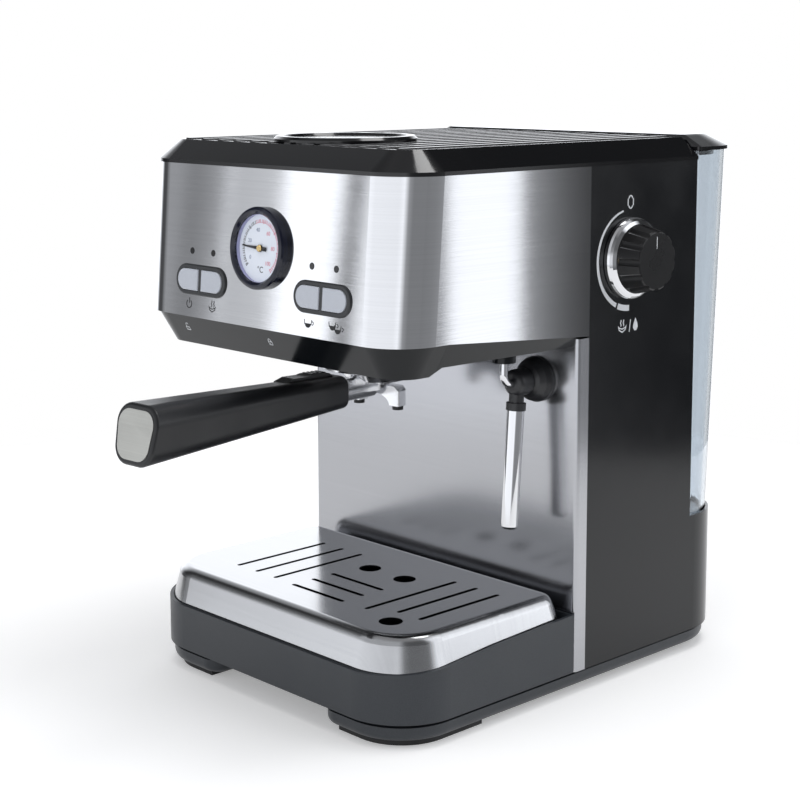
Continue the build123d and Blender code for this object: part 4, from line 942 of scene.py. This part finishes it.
@dataclass
class Gauge(Section):
    """Round temperature gauge on the panel."""

    panel: Panel
    up: float = 38.6
    dial_z: float = 0.4
    scale_r: float = 14.8
    long_tick: float = 2.2
    short_tick: float = 1.5
    long_width: float = 0.45
    short_width: float = 0.34
    cool_line: float = 0.16
    hot_line: float = 0.2
    unit_size: float = 4.4
    unit_spot: Point = (0.3, -11.0)
    start: float = 222.0
    stop: float = -52.0
    red_from: float = 112.0
    steps: int = 60
    steps_to_long: int = 10
    first_number: float = 212.0
    number_step: float = -52.6
    number_count: int = 6
    number_r: float = 9.6
    number_size: float = 2.9
    degrees_each: int = 20
    cool_numbers: int = 3
    rim_r: float = 17.45
    rim_gap: float = 0.05
    rim_rise: float = 1.85
    rim_width: float = 0.15
    cap_foot_r: float = 2.0
    cap_top_r: float = 1.3
    cap_depth: float = 0.7
    cap_bevel: float = 0.18
    cap_rise: float = 1.95

    def dress(self) -> None:
        """Give the gauge's pieces their finish."""
        dress = self.machine.dress
        dress(Shop.BEZEL, "gauge_case")
        dress(Shop.DIAL, "gauge_dial")
        dress(Shop.GLASS, "gauge_glass")
        dress(Shop.HAND, "gauge_needle")

    def face(self, rise: float) -> Matrix:
        """Axes of the dial at a rise over the panel.

        Args:
            rise: Height over the panel.

        Returns:
            Matrix from dial millimetres to the row frame.
        """
        return self.panel.face() @ Matrix.Translation((self.panel.middle, self.up, rise))

    def scale(self) -> None:
        """Print the ticks, black at the cool end and red at the hot end."""
        black = Marks()
        red = Marks()
        for step in range(self.steps + 1):
            angle = self.start + (self.stop - self.start) * step / self.steps
            long = step % self.steps_to_long == 0
            length = self.long_tick if long else self.short_tick
            turn = math.radians(angle)
            reach = (self.scale_r, self.scale_r - length)
            ends = [(radius * math.cos(turn), radius * math.sin(turn)) for radius in reach]
            marks = red if angle < self.red_from else black
            marks.line(ends, self.long_width if long else self.short_width)
        inner = self.scale_r - self.short_tick
        black.arc((0.0, 0.0), inner, self.red_from, self.start, self.cool_line)
        red.arc((0.0, 0.0), inner, self.stop, self.red_from, self.hot_line)
        black.word("°C", self.unit_size, self.unit_spot)
        face = self.face(self.dial_z)
        black.lay("dial_scale", face, Body.HOUSING, Shop.INK_BLACK)
        red.lay("dial_hot_scale", face, Body.HOUSING, Shop.INK_RED)

    def numbers(self) -> None:
        """Print plain numbers inside the scale."""
        cool = Marks()
        hot = Marks()
        for index in range(self.number_count):
            angle = math.radians(self.first_number + self.number_step * index)
            spot = (self.number_r * math.cos(angle), self.number_r * math.sin(angle))
            marks = cool if index < self.cool_numbers else hot
            marks.word(str(self.degrees_each * index), self.number_size, spot)
        face = self.face(self.dial_z)
        cool.lay("dial_numbers", face, Body.HOUSING, Shop.INK_BLUE)
        hot.lay("dial_hot_numbers", face, Body.HOUSING, Shop.INK_RED)

    def rim(self) -> None:
        """Line the wall round the dial with a thin pale violet rim; its colour is a painted reflection of
        the white dial in that wall.
        """
        mesh = bmesh.new()
        spots = bmesh.ops.create_circle(mesh, segments=96, radius=self.rim_r)["verts"]
        edges = list({edge for spot in spots for edge in spot.link_edges})
        raise_wall(mesh, edges, self.rim_rise, self.rim_width)
        bmesh.ops.remove_doubles(mesh, verts=mesh.verts, dist=Marks.MERGE)
        bmesh.ops.recalc_face_normals(mesh, faces=mesh.faces)
        bmesh.ops.transform(mesh, matrix=self.face(self.dial_z + self.rim_gap), verts=mesh.verts)
        # The ring's pale violet colour is painted reflection of the white dial.
        settle("dial_rim_painted_reflection", mesh, Body.HOUSING, Shop.PAINTED_REFLECTION_RIM)

    def hub(self) -> None:
        """Turn the small brass cap over the hand's axle."""
        cap = bmesh.new()
        bmesh.ops.create_cone(
            cap,
            cap_ends=True,
            segments=32,
            radius1=self.cap_foot_r,
            radius2=self.cap_top_r,
            depth=self.cap_depth,
        )
        sharp = math.radians(30.0)
        rim = [edge for edge in cap.edges if edge.calc_face_angle(0.0) > sharp]
        bmesh.ops.bevel(
            cap, geom=rim, offset=self.cap_bevel, segments=3, profile=0.5, affect="EDGES", material=-1
        )
        bmesh.ops.transform(cap, matrix=self.face(self.cap_rise), verts=cap.verts)
        settle("hand_cap", cap, Body.HAND, Shop.BRASS)

    def build(self) -> None:
        """Make the scale, the numbers, the rim and the cap."""
        self.scale()
        self.numbers()
        self.rim()
        self.hub()


@dataclass
class SteamControl(Section):
    """Steam knob, its printed scale, and the wand."""

    side: float = 105.0
    knob_y: float = 41.0
    knob_z: float = 229.5
    knob_height: float = 18.5
    scale_r: float = 25.6
    sweep_widths: Point = (1.0, 2.4)
    sweep_angles: Point = (103.0, 246.0)
    stop_inset: float = 0.4
    stop_width: float = 3.2
    stop_angles: Point = (249.0, 270.0)
    zero_r: float = 1.8
    zero_low: float = 28.1
    zero_high: float = 31.9
    zero_stroke: float = 0.75
    steam_spot: Point = (-5.4, -36.6)
    steam_size: float = 1.5
    slash_stroke: float = 0.6
    pointer_x: float = -0.3
    pointer_ends: Point = (12.8, 6.4)
    pointer_stroke: float = 0.5

    def dress(self) -> None:
        """Give knob, valve and wand their finish."""
        dress = self.machine.dress
        dress(Shop.KNOB, "knob_cap")
        # The brush lines of real steel blur the knob's mirror image away.
        self.machine.nodes["knob_cap"].visible_glossy = False
        dress(Shop.CHROME, "knob_skirt", "steam_pipe", "wand_tube", "wand_tip")
        dress(Shop.BRASS, "valve_stem")
        dress(Shop.DARK_GREY, "wand_dome", "wand_elbow")

    def face(self, rise: float) -> Matrix:
        """Axes of the side panel round the knob.

        Args:
            rise: Height over the panel.

        Returns:
            Matrix from its millimetres to the row frame.
        """
        origin = (self.side + rise, self.knob_y, self.knob_z)
        return self.machine.face(origin, Vector((0, 1, 0)), Vector((1, 0, 0)))

    def scale(self) -> None:
        """Print the sweep, the 0 and the signs for steam and water."""
        marks = Marks()
        marks.sweep(self.scale_r, self.sweep_widths, self.sweep_angles)
        marks.sweep(self.scale_r - self.stop_inset, (self.stop_width, self.stop_width), self.stop_angles)
        side, low, high, stroke = self.zero_r, self.zero_low, self.zero_high, self.zero_stroke
        marks.arc((0.0, high), side, 0.0, 180.0, stroke)
        marks.arc((0.0, low), side, 180.0, 360.0, stroke)
        marks.line([(-side, high), (-side, low)], stroke)
        marks.line([(side, low), (side, high)], stroke)
        steam_sign(marks, *self.steam_spot, self.steam_size)
        marks.line([(0.2, -39.9), (1.2, -33.2)], self.slash_stroke)
        crest = [(5.6, -32.6), (7.4, -35.8), (7.7, -37.9), (6.5, -39.6)]
        foot = [(4.9, -39.6), (3.7, -38.0), (4.1, -35.8)]
        marks.patch(crest + foot)
        marks.lay("knob_scale", self.face(0.0), Body.HOUSING, Shop.INK_WHITE)

    def pointer(self) -> None:
        """Print the pointer on the knob's face."""
        marks = Marks()
        marks.line([(self.pointer_x, end) for end in self.pointer_ends], self.pointer_stroke)
        marks.lay("knob_pointer", self.face(self.knob_height), Body.KNOB, Shop.INK_WHITE)

    def build(self) -> None:
        """Print the scale and the pointer."""
        self.scale()
        self.pointer()


@dataclass
class Holder(Section):
    """Filter holder with its handle, basket and spouts."""

    def dress(self) -> None:
        """Give the holder's pieces their finish."""
        dress = self.machine.dress
        dress(Shop.CAST, "filter_holder", "twin_spout")
        dress(Shop.SHEET, "filter_basket")
        dress(Shop.RUBBER, "spout_tips")
        dress(Shop.HANDLE, "handle_grip", "basket_clip")
        dress(Shop.END_PLATE, "handle_end_cap")


@dataclass
class Water(Section):
    """Drip tray with its cover, and the water tank."""

    def dress(self) -> None:
        """Give tray, cover and tank their finish."""
        dress = self.machine.dress
        dress(Shop.CHARCOAL, "tray_housing")
        dress(Shop.COVER, "tray_grid")
        dress(Shop.TANK, "tank_shell")
        dress(Shop.WHITE, "tank_valve")
        dress(Shop.GLOSS, "tank_lid")


@dataclass(frozen=True)
class Fan:
    """Light levels over a range of bearings, in degrees from the X axis.

    The gains fade the light with height, from the first height to the second,
    where 0 is the horizon and 1 is overhead.
    """

    start: float
    stop: float
    levels: tuple[Point, ...]
    heights: Point = (0.1, 0.26)
    low_gain: float = 1.0
    high_gain: float = 0.5


class Panels:
    """Light and dark panels that stand round the machine."""

    ALL_ROUND = Fan(
        0.0,
        360.0,
        (
            (0.0, 0.29),
            (24.0, 0.32),
            (40.0, 0.38),
            (54.0, 0.08),
            (200.0, 0.1),
            (212.0, 0.36),
            (226.0, 1.5),
            (240.0, 1.35),
            (300.0, 1.3),
            (310.0, 1.45),
            (321.0, 0.44),
            (331.0, 0.3),
        ),
    )
    AT_THE_SIDE = Fan(
        40.0,
        54.0,
        (
            (40.0, 0.38),
            (44.95, 0.46),
            (45.3, 1.62),
            (47.5, 1.62),
            (47.8, 0.46),
            (48.35, 0.3),
            (49.05, 0.17),
            (49.95, 0.08),
        ),
    )
    IN_FRONT = Fan(
        212.0,
        226.0,
        (
            (212.0, 0.36),
            (216.3, 0.47),
            (216.7, 0.28),
            (217.2, 0.38),
            (217.72, 0.5),
            (217.95, 1.1),
            (218.12, 0.72),
            (219.6, 0.85),
            (219.9, 1.75),
            (221.65, 1.75),
            (221.95, 0.42),
            (222.45, 0.4),
            (222.68, 1.5),
        ),
    )
    BEHIND = Fan(
        70.0,
        190.0,
        ((70.0, 0.0), (108.0, 0.0), (120.0, 1.8), (166.0, 1.8), (186.0, 0.0)),
        heights=(0.34, 0.55),
        high_gain=0.25,
    )
    OVER_THE_SIDE = Fan(
        0.0,
        90.0,
        ((10.0, 0.0), (24.0, 1.5), (60.0, 1.5), (74.0, 0.0)),
        heights=(-0.03, 0.03),
        low_gain=0.0,
        high_gain=1.0,
    )
    GROUND_HEIGHTS = (-0.34, -0.22)
    GROUND_GAINS = (0.55, 1.0)
    SKY_HEIGHTS = (0.7, 0.92)


@dataclass(frozen=True)
class Lamp:
    """A round soft lamp, in metres and watts."""

    name: str
    spot: Spot
    size: float
    power: float
    mirrored: bool


@dataclass
class Studio:
    """Pale floor, soft light and the camera."""

    STRENGTH = 2.0
    LAMPS = (
        Lamp("overhead", (0.1, -0.1, 1.5), 1.3, 7.0, mirrored=False),
        Lamp("glint", (0.2, 0.4, 1.5), 0.5, 4.0, mirrored=True),
    )
    machine: Machine
    eye: Spot = (671.9, -666.3, 332.1)
    yaw: float = 0.8114
    pitch: float = 0.136
    roll: float = -0.0014
    lens: float = 76.2
    sensor: float = 36.0
    shift: float = -0.13
    nearest: float = 0.01
    lamp_aim: Spot = (0.0, 0.0, 0.14)
    floor_r: float = 0.65
    floor_colour: Colour = (0.92, 0.92, 0.92)
    floor_glow: float = 0.3
    tint: Colour = (0.97, 0.99, 1.03)
    sky: Colour = (0.2, 0.2, 0.205)

    def camera(self) -> None:
        """Set the camera at the photograph's viewing angle."""
        data = bpy.data.cameras.new("view")
        data.lens = self.lens
        data.sensor_width = self.sensor
        data.shift_y = self.shift
        data.clip_start = self.nearest
        camera = bpy.data.objects.new("view", data)
        turn = Matrix.Rotation(self.yaw, 4, "Z") @ Matrix.Rotation(math.pi / 2 - self.pitch, 4, "X")
        turn = turn @ Matrix.Rotation(self.roll, 4, "Z")
        camera.matrix_world = Matrix.Translation(self.machine.origin + Vector(self.eye) * MM) @ turn
        bpy.context.scene.collection.objects.link(camera)
        bpy.context.scene.camera = camera

    def fan(self, graph: Graph, bearing: Socket, height: Socket, fan: Fan) -> Socket:
        """Light of one fan of panels.

        Args:
            graph: The world's node tree.
            bearing: Bearing in degrees.
            height: Height of the direction, 0 at the horizon and 1 overhead.
            fan: The panels.

        Returns:
            Their light as a colour, for a world of this strength.
        """
        ring = graph.add("ValToRGB")
        stops = ring.color_ramp.elements
        stops.remove(stops[-1])
        for index, (degrees, level) in enumerate(fan.levels):
            place = (degrees - fan.start) / (fan.stop - fan.start)
            stop = stops[0] if index == 0 else stops.new(place)
            stop.position = place
            stop.color = (*(level / self.STRENGTH * part for part in self.tint), 1.0)
        graph.join(graph.remap(bearing, (fan.start, fan.stop)), ring.inputs["Fac"])
        fade = graph.remap(height, fan.heights, (fan.low_gain, fan.high_gain))
        return graph.scale(ring.outputs["Color"], fade)

    def world(self) -> None:
        """Stand light and dark panels round the machine, before a white background.

        The camera, and what is seen through clear pieces, meets plain white.
        Surfaces are lit by the panels and mirror them.
        """
        world = bpy.data.worlds.new("studio")
        bpy.context.scene.world = world
        world.use_nodes = True
        graph = Graph(world.node_tree)
        light = world.node_tree.nodes["Background"]
        way = graph.add("TexCoord")
        parts = graph.add("SeparateXYZ")
        graph.join(way.outputs["Generated"], parts.inputs[0])
        turn = graph.math("ARCTAN2", parts.outputs["Y"], parts.outputs["X"])
        share = graph.math("FRACT", graph.math("DIVIDE", turn, 2.0 * math.pi))
        bearing = graph.math("MULTIPLY", share, 360.0)
        height = parts.outputs["Z"]
        panels = self.fan(graph, bearing, height, Panels.ALL_ROUND)
        for fan in (Panels.AT_THE_SIDE, Panels.IN_FRONT):
            past = graph.math("GREATER_THAN", bearing, fan.start)
            inside = graph.math("MULTIPLY", past, graph.math("LESS_THAN", bearing, fan.stop))
            panels = graph.mix(inside, panels, self.fan(graph, bearing, height, fan))
        ground = graph.remap(height, Panels.GROUND_HEIGHTS, Panels.GROUND_GAINS)
        panels = graph.scale(panels, ground)
        for fan in (Panels.BEHIND, Panels.OVER_THE_SIDE):
            both = graph.add("VectorMath", operation="ADD")
            graph.join(panels, both.inputs[0])
            graph.join(self.fan(graph, bearing, height, fan), both.inputs[1])
            panels = both.outputs[0]
        sky = graph.mix(graph.remap(height, Panels.SKY_HEIGHTS), panels, self.sky)
        white = (1.0 / self.STRENGTH,) * 3
        rays = graph.add("LightPath")
        plain = graph.math("MAXIMUM", rays.outputs["Is Camera Ray"], rays.outputs["Is Transmission Ray"])
        graph.join(graph.mix(plain, sky, white), light.inputs["Color"])
        light.inputs["Strength"].default_value = self.STRENGTH

    def floor(self) -> None:
        """Lay the pale floor, which shows white where no shadow falls."""
        mesh = bmesh.new()
        bmesh.ops.create_circle(mesh, cap_ends=True, segments=96, radius=self.floor_r)
        data = bpy.data.meshes.new("floor")
        mesh.to_mesh(data)
        mesh.free()
        paper = bpy.data.materials.new("floor_paper")
        paper.use_nodes = True
        graph = Graph(paper.node_tree)
        shader = paper.node_tree.nodes["Principled BSDF"]
        shader.inputs["Base Color"].default_value = (*self.floor_colour, 1.0)
        shader.inputs["Roughness"].default_value = 1.0
        shader.inputs["Specular IOR Level"].default_value = 0.0
        shader.inputs["Emission Color"].default_value = (1.0, 1.0, 1.0, 1.0)
        rays = graph.add("LightPath")
        seen = graph.math("MAXIMUM", rays.outputs["Is Camera Ray"], rays.outputs["Is Glossy Ray"])
        seen = graph.math("MAXIMUM", seen, rays.outputs["Is Transmission Ray"])
        graph.join(graph.math("MULTIPLY", seen, self.floor_glow), shader.inputs["Emission Strength"])
        data.materials.append(paper)
        piece = bpy.data.objects.new("floor", data)
        bpy.context.scene.collection.objects.link(piece)

    def hang(self, lamp: Lamp) -> None:
        """Hang a lamp that points at the machine.

        Args:
            lamp: The lamp.
        """
        data = bpy.data.lights.new(lamp.name, "AREA")
        data.shape = "DISK"
        data.size = lamp.size
        data.energy = lamp.power
        hung = bpy.data.objects.new(lamp.name, data)
        aim = Vector(self.lamp_aim) - Vector(lamp.spot)
        turn = aim.to_track_quat("-Z", "Y").to_matrix().to_4x4()
        hung.matrix_world = Matrix.Translation(lamp.spot) @ turn
        hung.visible_glossy = lamp.mirrored
        bpy.context.scene.collection.objects.link(hung)

    def build(self) -> None:
        """Set up light, floor and camera."""
        bpy.context.scene.view_settings.view_transform = "Standard"
        self.camera()
        self.world()
        self.floor()
        for lamp in self.LAMPS:
            self.hang(lamp)


def main() -> None:
    """Build the machine's looks in order."""
    logging.basicConfig(level=logging.INFO, format="%(message)s")
    machine = Machine.load()
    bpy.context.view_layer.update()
    panel = Panel(machine)
    parts = [
        Shell(machine),
        Head(machine),
        panel,
        Gauge(machine, panel),
        SteamControl(machine),
        Holder(machine),
        Water(machine),
    ]
    for part in parts:
        part.dress()
        part.build()
    Studio(machine).build()


if __name__ == "__main__":
    main()
